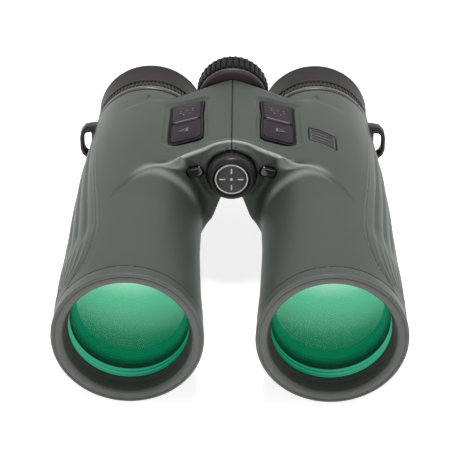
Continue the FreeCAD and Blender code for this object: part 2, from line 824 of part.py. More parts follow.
def build_eyepiece(word, side):
    x, z = barrel_x(side), height(0)
    bore, shoulder = dim.FieldLensRadius + 0.02, dim.EyeLensRadius + 0.02
    field_start, eye_start = dim.TailDepth + 1.0, dim.EyepieceEnd - 6.0
    outline = [
        (bore, dim.TailDepth - 9.0),
        (dim.EyepieceRadius, dim.TailDepth - 9.0),
        (dim.EyepieceRadius, dim.EyepieceEnd),
        (shoulder - 0.8, dim.EyepieceEnd),
        (shoulder - 0.8, dim.EyepieceEnd - 0.8),
        (shoulder, dim.EyepieceEnd - 0.8),
        (shoulder, eye_start - 0.2),
        (bore, eye_start - 1.6),
    ]
    tube = turned(f"{word}_eyepiece_barrel", outline, x, z)
    ring_start = dim.TailDepth + dim.RingGap
    flange = turned(
        f"{word}_eyepiece_flange",
        [
            (dim.EyepieceRadius - 0.5, dim.TailDepth),
            (dim.TailRadius - 2.2, dim.TailDepth),
            (dim.TailRadius - 2.2, ring_start - 0.02),
            (dim.EyepieceRadius - 0.5, ring_start - 0.02),
        ],
        x,
        z,
    )
    ring_end = ring_start + dim.RingLength
    ring_outline = [
        (dim.EyepieceRadius + dim.RunningGap, ring_start),
        (dim.RingRadius - 0.5, ring_start),
        (dim.RingRadius, ring_start + 0.5),
        (dim.RingRadius, ring_end - 0.5),
        (dim.RingRadius - 0.5, ring_end),
        (dim.EyepieceRadius + dim.RunningGap, ring_end),
    ]
    if side == RIGHT:
        node("diopter_ring", turned("diopter_ring", ring_outline, x, z))
        node("right_eyepiece_tube", joined("right_eyepiece_tube", tube, flange))
    else:
        inner_corners = (0, len(ring_outline) - 1)
        fixed_outline = [(r - 0.6 if i in inner_corners else r, d) for i, (r, d) in enumerate(ring_outline)]
        ring = turned("left_eyepiece_ring", fixed_outline, x, z)
        ring_foot = turned(
            "left_eyepiece_ring_foot",
            [
                (dim.EyepieceRadius - 0.5, dim.TailDepth),
                (dim.EyepieceRadius + 2.0, dim.TailDepth),
                (dim.EyepieceRadius + 2.0, ring_end - 0.5),
                (dim.EyepieceRadius - 0.5, ring_end - 0.5),
            ],
            x,
            z,
        )
        node("left_eyepiece_tube", joined("left_eyepiece_tube", tube, flange, ring, ring_foot))
    lens(f"{word}_field_lens", dim.FieldLensRadius, field_start, 4.0, x, z, front=60.0, rear=None)
    lens(f"{word}_eye_lens", dim.EyeLensRadius, eye_start, 5.0, x, z, front=None, rear=None)

    # turning band, then the cup that it lifts: a hard core and a rubber cover
    band_start = ring_end + dim.CupGap
    band_end = band_start + dim.BandLength
    slide_bore = dim.EyepieceRadius + dim.RunningGap
    core_outer = slide_bore + dim.CoreWall
    node(
        f"{word}_eyecup_band",
        turned(
            f"{word}_eyecup_band",
            [
                (slide_bore, band_start),
                (dim.BandRadius - 0.4, band_start),
                (dim.BandRadius, band_start + 0.4),
                (dim.BandRadius, band_end),
                (slide_bore, band_end),
            ],
            x,
            z,
        ),
    )
    cup_start, cup_end = band_end + dim.CupGap, dim.OverallLength - dim.RimProud
    node(
        f"{word}_eyecup_core",
        turned(
            f"{word}_eyecup_core",
            [
                (slide_bore, cup_start),
                (core_outer, cup_start),
                (core_outer, cup_end - 2.6),
                (slide_bore, cup_end - 2.6),
            ],
            x,
            z,
        ),
    )
    node(
        f"{word}_eyecup_rubber",
        turned(
            f"{word}_eyecup_rubber",
            [
                (core_outer, cup_start),
                (dim.CupRadius - 0.4, cup_start),
                (dim.CupRadius, cup_start + 0.5),
                (dim.CupRadius, cup_end - 3.0),
                (dim.CupRadius - 0.8, cup_end - 0.9),
                (dim.CupRadius - 2.2, cup_end),
                (dim.CupLip + 0.8, cup_end),
                (dim.CupLip, cup_end - 1.0),
                (dim.CupLip, cup_end - 2.6),
                (core_outer, cup_end - 2.6),
            ],
            x,
            z,
        ),
    )


# ---------------------------------------------------------------- hinge, wheel, cap
def build_centre():
    hinge_z = height(dim.HingeHeight)
    screw_room = dim.ShaftRadius - 0.9
    screw_start = dim.RearKnuckleStart - 10.0
    node(
        "hinge_shaft",
        turned(
            "hinge_shaft",
            [
                (dim.SocketRadius, dim.BridgeStart - 1.4),
                (dim.ShaftRadius, dim.BridgeStart - 1.4),
                (dim.ShaftRadius, dim.BridgeEnd + 0.6),
                (screw_room, dim.BridgeEnd + 0.6),
                (screw_room, screw_start),
                (ZERO, screw_start),
                (ZERO, dim.BridgeStart - 1.4 + dim.SocketLength),
                (dim.SocketRadius, dim.BridgeStart - 1.4 + dim.SocketLength),
            ],
            ZERO,
            hinge_z,
        ),
    )
    node(
        "focus_screw",
        rod(
            "focus_screw",
            dim.ScrewRadius,
            screw_start + 1.0,
            dim.WheelStart + dim.WheelLength - 1.6 - screw_start - 1.0,
            ZERO,
            hinge_z,
        ),
    )
    node(
        "focus_carriage",
        turned(
            "focus_carriage",
            [
                (dim.ScrewRadius + dim.RunningGap, screw_start + 8.0),
                (screw_room - dim.RunningGap, screw_start + 8.0),
                (screw_room - dim.RunningGap, screw_start + 18.0),
                (dim.ScrewRadius + dim.RunningGap, screw_start + 18.0),
            ],
            ZERO,
            hinge_z,
        ),
    )
    wheel_end = dim.WheelStart + dim.WheelLength
    node(
        "focus_wheel_core",
        turned(
            "focus_wheel_core",
            [
                (dim.ScrewRadius, dim.WheelStart),
                (dim.WheelRadius - 1.2, dim.WheelStart),
                (dim.WheelRadius - 0.4, dim.WheelStart + 0.8),
                (dim.WheelRadius - 0.4, dim.WheelStart + 2.4),
                (dim.WheelCore, dim.WheelStart + 2.4),
                (dim.WheelCore, wheel_end - 0.6),
                (dim.WheelCore - 0.6, wheel_end),
                (ZERO, wheel_end),
                (ZERO, wheel_end - 1.6),
                (dim.ScrewRadius, wheel_end - 1.6),
            ],
            ZERO,
            hinge_z,
        ),
    )
    grip_start = dim.WheelStart + 2.4
    grip_end = wheel_end - 0.6
    sleeve = turned(
        "focus_grip_sleeve",
        [
            (dim.WheelCore, grip_start),
            (dim.WheelRadius, grip_start),
            (dim.WheelRadius, grip_end - 0.8),
            (dim.WheelRadius - 0.8, grip_end),
            (dim.WheelCore, grip_end),
        ],
        ZERO,
        hinge_z,
    )
    groove_count = 32
    grooves = []
    for i in range(groove_count):
        angle = 2 * math.pi * i / groove_count
        grooves.append(
            rod(
                f"focus_groove{i}",
                0.55,
                grip_start + 1.6,
                dim.WheelLength,
                dim.WheelRadius * math.cos(angle),
                hinge_z + dim.WheelRadius * math.sin(angle),
            )
        )
    node("focus_wheel_grip", less("focus_wheel_grip", sleeve, *grooves))

    cap_end = dim.BridgeStart - 0.3
    node(
        "hinge_cap",
        turned(
            "hinge_cap",
            [
                (ZERO, dim.CapDepth + 0.8),
                (dim.CapRadius - 2.4, dim.CapDepth + 0.8),
                (dim.CapRadius - 2.4, dim.CapDepth),
                (dim.CapRadius - 0.9, dim.CapDepth),
                (dim.CapRadius, dim.CapDepth + 0.9),
                (dim.CapRadius, cap_end - 1.0),
                (dim.CapRadius - dim.CapWall, cap_end - 1.0),
                (dim.CapRadius - dim.CapWall, dim.CapDepth + 0.8 + dim.CapWall),
                (ZERO, dim.CapDepth + 0.8 + dim.CapWall),
            ],
            ZERO,
            hinge_z,
        ),
    )
    node(
        "cap_medallion",
        turned(
            "cap_medallion",
            [
                (ZERO, dim.CapDepth + 0.15),
                (dim.CapRadius - 2.8, dim.CapDepth + 0.15),
                (dim.CapRadius - 2.4, dim.CapDepth + 0.8),
                (ZERO, dim.CapDepth + 0.8),
            ],
            ZERO,
            hinge_z,
        ),
    )
    node(
        "cap_gasket",
        turned(
            "cap_gasket",
            [
                (dim.CapRadius - dim.CapWall - 1.4, cap_end - 0.95),
                (dim.CapRadius + 0.3, cap_end - 0.95),
                (dim.CapRadius + 0.3, cap_end),
                (dim.CapRadius - dim.CapWall - 1.4, cap_end),
            ],
            ZERO,
            hinge_z,
        ),
    )
    # the sight's display, fixed behind the right prisms
    x = barrel_x(RIGHT)
    node(
        "display_module",
        block(
            "display_module",
            (Size.of(10.0), Size.of(4.0), Size.of(5.0)),
            (
                x - 5.0,
                depth(dim.FrameStart + dim.FrameLength),
                height(0) + dim.FrameHeight / 2 - 5.0,
            ),
        ),
    )


def check_and_export():
    """Recompute, refuse anything that failed, and write one STEP file for each node."""
    doc.recompute()
    for thing in doc.Objects:
        if "Invalid" in thing.State or "Error" in thing.State:
            raise RuntimeError(f"{thing.Name} did not compute: {thing.State}")
    os.makedirs("parts", exist_ok=True)
    for name, thing in nodes.items():
        shape = thing.Shape
        if shape.isNull() or not shape.isValid() or not shape.Solids:
            raise RuntimeError(f"{name} has no valid shape")
        shape.exportStep(os.path.join("parts", name + ".step"))
    print(f"{len(nodes)} nodes")


for side_word, side_sign in SIDES.items():
    build_half(side_word, side_sign)
    build_optics(side_word, side_sign)
    build_eyepiece(side_word, side_sign)
build_centre()
check_and_export()
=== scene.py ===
"""Visual model of hand-held rangefinding roof-prism binoculars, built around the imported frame.

Metres everywhere in Blender. The armour is worked out in millimetres in each half's own
coordinates: across (away from the seam), depth (behind a datum just inside the objective rims) and
rise (above the optical axes), and is turned into metres when its mesh is made.
"""
from __future__ import annotations

import itertools
import logging
import math
from dataclasses import dataclass
from enum import Enum
from typing import Callable, Sequence

import bmesh
import bpy
import numpy as np
from mathutils import Matrix, Vector


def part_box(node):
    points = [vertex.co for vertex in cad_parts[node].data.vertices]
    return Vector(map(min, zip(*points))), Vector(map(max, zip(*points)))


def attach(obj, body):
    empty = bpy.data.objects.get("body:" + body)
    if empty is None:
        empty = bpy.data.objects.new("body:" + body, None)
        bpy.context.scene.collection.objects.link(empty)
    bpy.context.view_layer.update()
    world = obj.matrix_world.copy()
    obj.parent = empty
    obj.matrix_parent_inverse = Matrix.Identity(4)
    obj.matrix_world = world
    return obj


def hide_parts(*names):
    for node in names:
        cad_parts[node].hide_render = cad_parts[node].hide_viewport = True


log = logging.getLogger("binoculars")
MM = 0.001
WINDOW_ACROSS = 14.4  # middle of a sensor window from the seam, mm
WINDOW_TILT = math.radians(14.0)
PAD_ACROSS = 18.7  # middle of a keypad from the seam, mm
PAD_RISE = 26.7  # middle of a keypad above the optical axes, mm
PAD_SLOPE = math.radians(16.0)
PAD_WIDTH, PAD_LENGTH = 0.0144, 0.0356
BADGE_ACROSS, BADGE_DEPTH = 36.5, 104.0  # middle of the badge, mm
BADGE_SKEW = 0.85  # how far the badge's ends run forward for each millimetre outward
CREASE_DEPTH, CREASE_BOW, CREASE_SPAN = 91.3, 18.0, 37.0  # the bridge's front crease, mm
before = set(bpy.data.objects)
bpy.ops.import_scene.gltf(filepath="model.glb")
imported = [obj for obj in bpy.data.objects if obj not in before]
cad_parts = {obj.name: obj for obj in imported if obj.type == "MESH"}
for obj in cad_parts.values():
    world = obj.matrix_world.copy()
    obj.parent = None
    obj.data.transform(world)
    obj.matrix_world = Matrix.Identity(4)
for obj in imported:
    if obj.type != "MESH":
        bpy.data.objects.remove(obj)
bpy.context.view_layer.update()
RIM_LOW, RIM_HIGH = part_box("left_rim_ring")
AXIS_RISE = (RIM_LOW[2] + RIM_HIGH[2]) / 2
HALF_SPACING = -(RIM_LOW[0] + RIM_HIGH[0]) / 2
DATUM = RIM_LOW[1] + 1.0 * MM  # zero of the depths, 1 mm behind the rims' front


class Side(Enum):
    """Which half a piece belongs to; the value is the sign of its X."""

    LEFT = -1
    RIGHT = 1

    @property
    def word(self) -> str:
        """The word that the half's nodes and bodies start with."""
        return self.name.lower()

    @property
    def body(self) -> str:
        """The CAD body of this half."""
        return f"{self.word}_half"


# ---------------------------------------------------------------- shader expressions
class Tap:
    """A socket in a node tree that can be used in arithmetic."""

    def __init__(self, tree: "Shader", socket: bpy.types.NodeSocket) -> None:
        self.tree = tree
        self.socket = socket

    def _math(self, operation: str, other: "Tap | float", swapped: bool = False) -> "Tap":
        """Add one Math node.

        Args:
            operation: the Math node's operation.
            other: the second operand.
            swapped: put the other operand first.

        Returns:
            The result as a Tap.
        """
        first, second = (other, self) if swapped else (self, other)
        return self.tree.node("ShaderNodeMath", {"operation": operation}, {0: first, 1: second})

    def __add__(self, other: "Tap | float") -> "Tap":
        """Sum."""
        return self._math("ADD", other)

    def __radd__(self, other: float) -> "Tap":
        """Sum, reflected."""
        return self._math("ADD", other, True)

    def __sub__(self, other: "Tap | float") -> "Tap":
        """Difference."""
        return self._math("SUBTRACT", other)

    def __rsub__(self, other: float) -> "Tap":
        """Difference, reflected."""
        return self._math("SUBTRACT", other, True)

    def __mul__(self, other: "Tap | float") -> "Tap":
        """Product."""
        return self._math("MULTIPLY", other)

    def __rmul__(self, other: float) -> "Tap":
        """Product, reflected."""
        return self._math("MULTIPLY", other, True)

    def __truediv__(self, other: "Tap | float") -> "Tap":
        """Quotient."""
        return self._math("DIVIDE", other)

    def power(self, exponent: float) -> "Tap":
        """This value raised to a power."""
        return self._math("POWER", exponent)

    def sine(self) -> "Tap":
        """Sine of this value in radians."""
        return self._math("SINE", 0.0)

    def size(self) -> "Tap":
        """This value without its sign."""
        return self._math("ABSOLUTE", 0.0)

    def ramp(self, low: float, high: float) -> "Tap":
        """A smooth 0 to 1 rise between two values of this one."""
        settings = {"interpolation_type": "SMOOTHSTEP"}
        return self.tree.node("ShaderNodeMapRange", settings, {0: self, 1: low, 2: high, 3: 0.0, 4: 1.0})


class Shader:
    """One material's node tree, ending in a Principled shader."""

    def __init__(self, name: str) -> None:
        self.material = bpy.data.materials.new(name)
        self.material.use_nodes = True
        self.nodes = self.material.node_tree.nodes
        self.links = self.material.node_tree.links
        self.shader = self.nodes["Principled BSDF"]
        coordinates = self.nodes.new("ShaderNodeTexCoord")
        self.place = Tap(self, coordinates.outputs["Object"])

    def node(self, kind: str, settings: dict, inputs: dict, output: int | str = 0) -> Tap:
        """Add a node.

        Args:
            kind: the node's type.
            settings: attributes set before its inputs.
            inputs: values or Taps by socket name or index.
            output: the output socket wanted.

        Returns:
            That output as a Tap.
        """
        made = self.nodes.new(kind)
        for key, value in settings.items():
            setattr(made, key, value)
        for key, value in inputs.items():
            if isinstance(value, Tap):
                self.links.new(value.socket, made.inputs[key])
            else:
                made.inputs[key].default_value = value
        return Tap(self, made.outputs[output])

    def noise(self, scale: float, detail: float = 2.0, stretch: Sequence[float] = (1, 1, 1)) -> Tap:
        """Seamless noise on object coordinates, scale in cells per metre."""
        place = self.place
        if tuple(stretch) != (1, 1, 1):
            place = self.node("ShaderNodeVectorMath", {"operation": "MULTIPLY"}, {0: place, 1: stretch})
        return self.node("ShaderNodeTexNoise", {}, {"Vector": place, "Scale": scale, "Detail": detail})

    def axes(self) -> tuple[Tap, Tap, Tap]:
        """The three object coordinates, in metres."""
        split = self.nodes.new("ShaderNodeSeparateXYZ")
        self.links.new(self.place.socket, split.inputs[0])
        return tuple(Tap(self, split.outputs[i]) for i in range(3))

    def blend(self, share: Tap | float, first: Sequence[float] | Tap, second: Sequence[float] | Tap) -> Tap:
        """Mix two colours."""
        made = self.nodes.new("ShaderNodeMix")
        made.data_type = "RGBA"
        for socket, value in ((made.inputs[0], share), (made.inputs[6], first), (made.inputs[7], second)):
            if isinstance(value, Tap):
                self.links.new(value.socket, socket)
            else:
                socket.default_value = value if isinstance(value, float) else (*value[:3], 1.0)
        return Tap(self, made.outputs[2])

    def set(self, **inputs: "Tap | float | Sequence[float]") -> "Shader":
        """Set Principled inputs; underscores in a name stand for spaces."""
        for key, value in inputs.items():
            socket = self.shader.inputs[key.replace("_", " ")]
            if isinstance(value, Tap):
                self.links.new(value.socket, socket)
            elif isinstance(value, (tuple, list)):
                socket.default_value = (*value[:3], 1.0)
            else:
                socket.default_value = value
        return self

    def relief(self, pattern: Tap, depth: float, strength: float = 1.0) -> "Shader":
        """Bump the surface by a pattern, depth in metres."""
        bump = self.node("ShaderNodeBump", {}, {"Strength": strength, "Distance": depth, "Height": pattern}, 0)
        self.links.new(bump.socket, self.shader.inputs["Normal"])
        return self


@dataclass(frozen=True)
class Grained:
    """A moulded or painted finish: a base colour, blotches, fine grain and a little wear."""

    name: str
    colour: tuple[float, float, float]
    roughness: float
    metallic: float = 0.0
    grain: float = 2600.0
    grain_depth: float = 0.00003
    spread: float = 0.12
    coat: float = 0.0
    gloss: float = 0.3

    def make(self) -> bpy.types.Material:
        """Build the material.

        Returns:
            The new material.
        """
        tree = Shader(self.name)
        patches = tree.noise(60.0, 3.0)
        fine = tree.noise(self.grain, 1.0)
        light = tuple(c * (1 + self.spread) for c in self.colour)
        dark = tuple(c * (1 - self.spread) for c in self.colour)
        tone = tree.blend(patches * 0.6 + fine * 0.4, dark, light)
        tree.set(Base_Color=tone, Roughness=patches * 0.12 + (self.roughness - 0.06))
        tree.set(Metallic=self.metallic, Coat_Weight=self.coat, Specular_IOR_Level=self.gloss)
        if self.grain_depth:
            tree.relief(fine, self.grain_depth)
        return tree.material


def crease_band(tree: Shader) -> Tap:
    """Share of the pale band painted along the bridge's front crease.

    The band stands in for the bright line that a studio light leaves on the crease. It is paint,
    so it stays where it is when the lights move.
    """
    across, along, rise = tree.axes()
    span = across.size() * (1 / (CREASE_SPAN * MM))
    bow = span * span * (span.ramp(-0.6, 1.6) * 0.8 + 0.2)
    away = along - DATUM - CREASE_DEPTH * MM + bow * (CREASE_BOW * MM)
    on = away.size().ramp(0.00115, 0.00025)
    return on * span.ramp(1.05, 0.75) * rise.ramp(AXIS_RISE + 0.016, AXIS_RISE + 0.022)


def shoulder_band(tree: Shader) -> Tap:
    """Share of the pale band painted over each barrel's shoulder in front of the bridge.

    Like the crease's, it stands in for a light's reflection. It runs straight across the inner
    part of the barrel and bows forward beyond 28 mm from the seam.
    """
    across, along, rise = tree.axes()
    turn, depth, curve = 0.028, 0.0803, 77.0
    past = across.size() - turn
    beyond = (past + past.size()) * 0.5
    away = (along - DATUM - depth + beyond * beyond * curve).size()
    ends = across.size().ramp(0.041, 0.034) * rise.ramp(AXIS_RISE + 0.007, AXIS_RISE + 0.017)
    return away.ramp(0.0055, 0.0) * ends


class Finishes:
    """Every material of the object, made once."""

    def __init__(self) -> None:
        self.armour = self.armour_rubber()
        self.rim = Grained("rim_rubber", (0.100, 0.105, 0.098), 0.42, grain=3200, grain_depth=0.00002).make()
        self.tube = Grained("inner_tube_paint", (0.075, 0.045, 0.047), 0.45, coat=0.2).make()
        self.cup = Grained("eyecup_rubber", (0.019, 0.014, 0.0135), 0.52, grain=2200, gloss=0.18).make()
        self.band = Grained("band_rubber", (0.012, 0.010, 0.010), 0.46, grain=2600).make()
        self.ring = Grained("ring_anodised", (0.125, 0.110, 0.112), 0.36, metallic=0.35, grain_depth=0.00001).make()
        self.wheel = Grained("wheel_rubber", (0.0055, 0.0045, 0.0045), 0.5, grain=2400, gloss=0.1).make()
        self.flange = Grained("wheel_flange", (0.070, 0.058, 0.056), 0.40, metallic=0.25, grain_depth=0.00001).make()
        self.eyepiece = Grained("eyepiece_black", (0.010, 0.009, 0.009), 0.35, grain_depth=0.00001).make()
        self.key = Grained("key_soft_touch", (0.013, 0.0075, 0.0125), 0.46, grain=3000, gloss=0.15).make()
        self.mark = Grained("key_mark", (0.170, 0.145, 0.165), 0.45, grain_depth=0.0).make()
        self.window = Grained("window_gloss", (0.007, 0.006, 0.007), 0.2, grain_depth=0.0, coat=0.8, gloss=0.5).make()
        self.cap = Grained("cap_satin", (0.020, 0.017, 0.018), 0.38, grain_depth=0.00001).make()
        self.enamel = Grained("cap_enamel", (0.009, 0.008, 0.009), 0.25, grain_depth=0.0, coat=0.4).make()
        self.white = Grained("cap_inlay", (0.80, 0.79, 0.77), 0.35, grain_depth=0.0, spread=0.03).make()
        self.lug = Grained("lug_plastic", (0.022, 0.016, 0.016), 0.36, grain=2400, grain_depth=0.00002).make()
        self.badge = Grained("badge_plate", (0.010, 0.007, 0.010), 0.34, grain_depth=0.0).make()
        self.badge_line = Grained("badge_line", (0.110, 0.100, 0.106), 0.4, grain_depth=0.0).make()
        self.chassis = Grained("chassis_black", (0.015, 0.015, 0.015), 0.42, grain=2000).make()
        self.steel = Grained("machined_steel", (0.45, 0.45, 0.46), 0.28, metallic=1.0, grain_depth=0.00001).make()
        self.dark_steel = Grained("screw_steel", (0.09, 0.09, 0.09), 0.3, metallic=1.0, grain_depth=0.0).make()
        self.board = Grained("board_mask", (0.02, 0.12, 0.05), 0.4, grain_depth=0.0).make()
        self.brass = Grained("turned_brass", (0.6, 0.42, 0.16), 0.3, metallic=1.0, grain_depth=0.0).make()
        self.front_glass = self.coated_face_painted_reflection()
        self.glass_edge = self.edge_painted_glow()
        self.rear_glass = self.coated_rear_painted_reflection()
        self.lit_wall = self.lit_bore()
        self.eye_glass = self.ocular_glass()

    @staticmethod
    def armour_rubber() -> bpy.types.Material:
        """Fine-grained green rubber, with painted highlights: pale bands on the crease and the shoulders."""
        tree = Shader("armour_rubber")
        patches = tree.noise(34.0, 3.0)
        fine = tree.noise(2300.0, 2.0)
        pebble = tree.noise(1100.0, 1.0)
        tone = tree.blend(patches, (0.030, 0.042, 0.031), (0.037, 0.050, 0.038))
        tone = tree.blend(fine.ramp(0.35, 0.75) * 0.35, tone, (0.062, 0.078, 0.061))
        # painted highlights: a pale band along the crease and a dimmer one over each shoulder
        tone = tree.blend(crease_band(tree) * 0.8, tone, (0.40, 0.43, 0.385))
        tone = tree.blend(shoulder_band(tree) * 0.75, tone, (0.22, 0.25, 0.22))
        tree.set(Base_Color=tone, Roughness=patches * 0.08 + fine * 0.08 + 0.38, Specular_IOR_Level=0.35)
        tree.shader.inputs["Sheen Weight"].default_value = 0.03
        tree.shader.inputs["Sheen Roughness"].default_value = 0.5
        tree.relief(fine * 0.6 + pebble * 0.4, 0.00006, 0.7)
        return tree.material

    @staticmethod
    def coated_face_painted_reflection() -> bpy.types.Material:
        """The front lens's face: nearly clear glass with a green coating and a painted reflection, bright green at the
        top.
        """
        tree = Shader("coated_glass_face_painted_reflection")
        _, _, rise = tree.axes()
        # painted reflection: dark green at the bottom, bright mint at the top, a little less clear at the top
        high = rise.ramp(AXIS_RISE - 0.020, AXIS_RISE + 0.022)
        tree.set(Base_Color=tree.blend(high, (0.0, 0.10, 0.05), (0.03, 0.70, 0.40)))
        tree.set(Roughness=0.02, Alpha=high * 0.03 + 0.02)
        tree.material.surface_render_method = "BLENDED"
        return tree.material

    @staticmethod
    def edge_painted_glow() -> bpy.types.Material:
        """The ground edge of the front lens, glowing with painted green light in bands."""
        tree = Shader("glass_edge_painted_glow")
        across, along, _ = tree.axes()
        bands = ((along - DATUM) * (2 * math.pi / 0.0021)).sine().ramp(-0.9, 0.7)
        side = ((across.size() - HALF_SPACING) / 0.022).ramp(-1.0, 1.0)
        # painted glow: green bands, lighter towards the barrel's outer side
        tone = tree.blend(bands, (0.0, 0.055, 0.03), (0.010, 0.30, 0.165))
        tone = tree.blend(side * 0.5, tone, (0.10, 0.55, 0.36))
        tree.set(Base_Color=(0.0, 0.10, 0.05), Roughness=0.3, Emission_Color=tone, Emission_Strength=0.8)
        return tree.material

    @staticmethod
    def lit_bore() -> bpy.types.Material:
        """The tube's wall behind the front lens, glowing with painted green light, brighter further in and in fine
        rings.
        """
        tree = Shader("lit_bore")
        _, along, _ = tree.axes()
        deep = along.ramp(DATUM + 0.0125, DATUM + 0.0195)
        rings = ((along - DATUM) * (2 * math.pi / 0.0016)).sine() * 0.12
        tone = tree.blend(deep + rings * deep, (0.0, 0.006, 0.003), (0.0, 0.150, 0.066))
        tree.set(Base_Color=(0.0, 0.03, 0.015), Roughness=0.45, Emission_Color=tone, Emission_Strength=0.95)
        return tree.material

    @staticmethod
    def coated_rear_painted_reflection() -> bpy.types.Material:
        """The rear lens: a painted green reflection that glows, brightest towards the top."""
        tree = Shader("coated_glass_rear_painted_reflection")
        across, _, rise = tree.axes()
        aside = (across.size() - HALF_SPACING) / 0.020
        level = (rise - AXIS_RISE) / 0.020 - aside * aside * 0.42
        # painted reflection: green glow that brightens upwards to a pale disc near the top
        tone = tree.blend(level.ramp(-1.05, 0.35), (0.004, 0.125, 0.052), (0.060, 0.44, 0.235))
        tone = tree.blend(level.ramp(0.0, 1.0), tone, (0.72, 1.0, 0.80))
        tree.set(Base_Color=(0.002, 0.05, 0.025), Roughness=0.16, Emission_Color=tone, Emission_Strength=0.95)
        return tree.material

    @staticmethod
    def ocular_glass() -> bpy.types.Material:
        """The eye lens: dark glass with a faint violet coating and a painted sheen, lighter teal where it is seen at a
        glancing angle.
        """
        tree = Shader("ocular_glass")
        facing = tree.node("ShaderNodeLayerWeight", {}, {"Blend": 0.35}, "Facing")
        # painted sheen: lighter teal where the glass is seen at a glancing angle
        tree.set(Base_Color=tree.blend(facing, (0.012, 0.014, 0.020), (0.05, 0.09, 0.10)))
        tree.set(Roughness=0.04, Coat_Weight=1.0, Coat_Roughness=0.02)
        return tree.material


# ---------------------------------------------------------------- mesh helpers
def new_piece(
    name: str, mesh: bpy.types.Mesh, body: str, slot: str, *materials: bpy.types.Material
) -> bpy.types.Object:
    """Put a mesh in the scene as a piece of the object.

    Args:
        name: the piece's name.
        mesh: its mesh, already in place.
        body: the CAD body it rides on.
        slot: the record's material slot it belongs to; not used.
        materials: its materials, in slot order.

    Returns:
        The new object.
    """
    piece = bpy.data.objects.new(name, mesh)
    bpy.context.scene.collection.objects.link(piece)
    for material in materials:
        mesh.materials.append(material)
    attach(piece, body)
    log.info("%s: %d faces on %s", name, len(mesh.polygons), body)
    return piece


def smooth(mesh: bpy.types.Mesh, degrees: float = 32.0) -> bpy.types.Mesh:
    """Shade a mesh smooth, with sharp edges where faces meet at more than an angle."""
    for face in mesh.polygons:
        face.use_smooth = True
    mesh.set_sharp_from_angle(angle=math.radians(degrees))
    return mesh


def turned(name: str, profile: Sequence[tuple[float, float]], centre: Vector, bevel: float = 0.0002,
           steps: int = 160, turns: int = 3) -> bpy.types.Mesh:
    """A closed solid turned about an axis along Y.

    Args:
        name: the mesh's name.
        profile: (radius, depth along Y) corners in metres, a closed loop; depth is absolute Y.
        centre: a point on the axis; its Y is ignored.
        bevel: how far the corners are rounded.
        steps: divisions round the axis.
        turns: points that round each corner.

    Returns:
        The mesh.
    """
    loop = rounded_loop(profile, bevel, turns)
    work = bmesh.new()
    rings = []
    for radius, along in loop:
        if radius < 1e-7:
            rings.append([work.verts.new((centre.x, along, centre.z))])
            continue
        rings.append([
            work.verts.new((centre.x + radius * math.cos(a), along, centre.z + radius * math.sin(a)))
            for a in (2 * math.pi * i / steps for i in range(steps))
        ])
    for here, there in zip(rings, rings[1:] + rings[:1]):
        if len(here) == 1 and len(there) == 1:
            continue
        for i in range(steps):
            j = (i + 1) % steps
            corners = [here[i % len(here)], here[j % len(here)], there[j % len(there)], there[i % len(there)]]
            unique = list(dict.fromkeys(corners))
            if len(unique) > 2:
                work.faces.new(unique)
    return finished(work, name)


def rounded_loop(points: Sequence[tuple[float, float]], bevel: float, turns: int) -> list[tuple[float, float]]:
    """Round the corners of a closed loop, leaving the points that lie on the axis.

    Args:
        points: the loop's corners.
        bevel: distance cut back from each corner.
        turns: points on each rounded corner.

    Returns:
        The new loop.
    """
    result = []
    count = len(points)
    for i, here in enumerate(points):
        before, after = Vector(points[i - 1]), Vector(points[(i + 1) % count])
        corner = Vector(here)
        if here[0] < 1e-7 or bevel <= 0:
            result.append(tuple(here))
            continue
        reach = min(bevel, (before - corner).length * 0.45, (after - corner).length * 0.45)
        start = corner + (before - corner).normalized() * reach
        end = corner + (after - corner).normalized() * reach
        for k in range(turns + 1):
            t = k / turns
            result.append(tuple(start * (1 - t) ** 2 + corner * (2 * t * (1 - t)) + end * t**2))
    return result


def finished(work: bmesh.types.BMesh, name: str, degrees: float = 32.0) -> bpy.types.Mesh:
    """Weld, point the faces outwards and turn a working mesh into a smooth-shaded one."""
    bmesh.ops.remove_doubles(work, verts=work.verts, dist=1e-7)
    bmesh.ops.recalc_face_normals(work, faces=work.faces)
    mesh = bpy.data.meshes.new(name)
    work.to_mesh(mesh)
    work.free()
    return smooth(mesh, degrees)


def slab(name: str, outline: Sequence[tuple[float, float]], low: float, high: float, place: Matrix,
         bevel: float = 0.0003, segments: int = 3, crown: float = 0.0) -> bpy.types.Mesh:
    """A plate with a flat outline and rounded edges.

    Args:
        name: the mesh's name.
        outline: the outline's points in the plate's own plane.
        low: underside, in the plate's own frame.
        high: top, in the plate's own frame.
        place: where the plate's frame is.
        bevel: radius of the rounded edges.
        segments: steps of the rounded edges.
        crown: how far the middle of the top stands above its edge.

    Returns:
        The mesh.
    """
    work = bmesh.new()
    bottom = [work.verts.new((x, y, low)) for x, y in outline]
    top = [work.verts.new((x, y, high)) for x, y in outline]
    work.faces.new(bottom)
    lid = work.faces.new(top)
    for i in range(len(outline)):
        j = (i + 1) % len(outline)
        work.faces.new((bottom[i], bottom[j], top[j], top[i]))
    bmesh.ops.recalc_face_normals(work, faces=work.faces)
    rims = [e for e in lid.edges]
    bmesh.ops.bevel(work, geom=rims, offset=bevel, segments=segments, profile=0.5, affect="EDGES")
    if crown:
        tops = [f for f in work.faces if f.normal.z > 0.99]
        for face in tops:
            made = bmesh.ops.poke(work, faces=[face])
            for vertex in made["verts"]:
                vertex.co.z += crown
    work.transform(place)
    return finished(work, name)


def rounded_rectangle(width: float, length: float, radius: float, steps: int = 8) -> list[tuple[float, float]]:
    """The outline of a rounded rectangle centred on its origin."""
    points = []
    for k, (sx, sy) in enumerate(((1, 1), (-1, 1), (-1, -1), (1, -1))):
        for i in range(steps + 1):
            angle = math.pi / 2 * (k + i / steps)
            points.append((
                sx * (width / 2 - radius) + radius * math.cos(angle),
                sy * (length / 2 - radius) + radius * math.sin(angle),
            ))
    return points


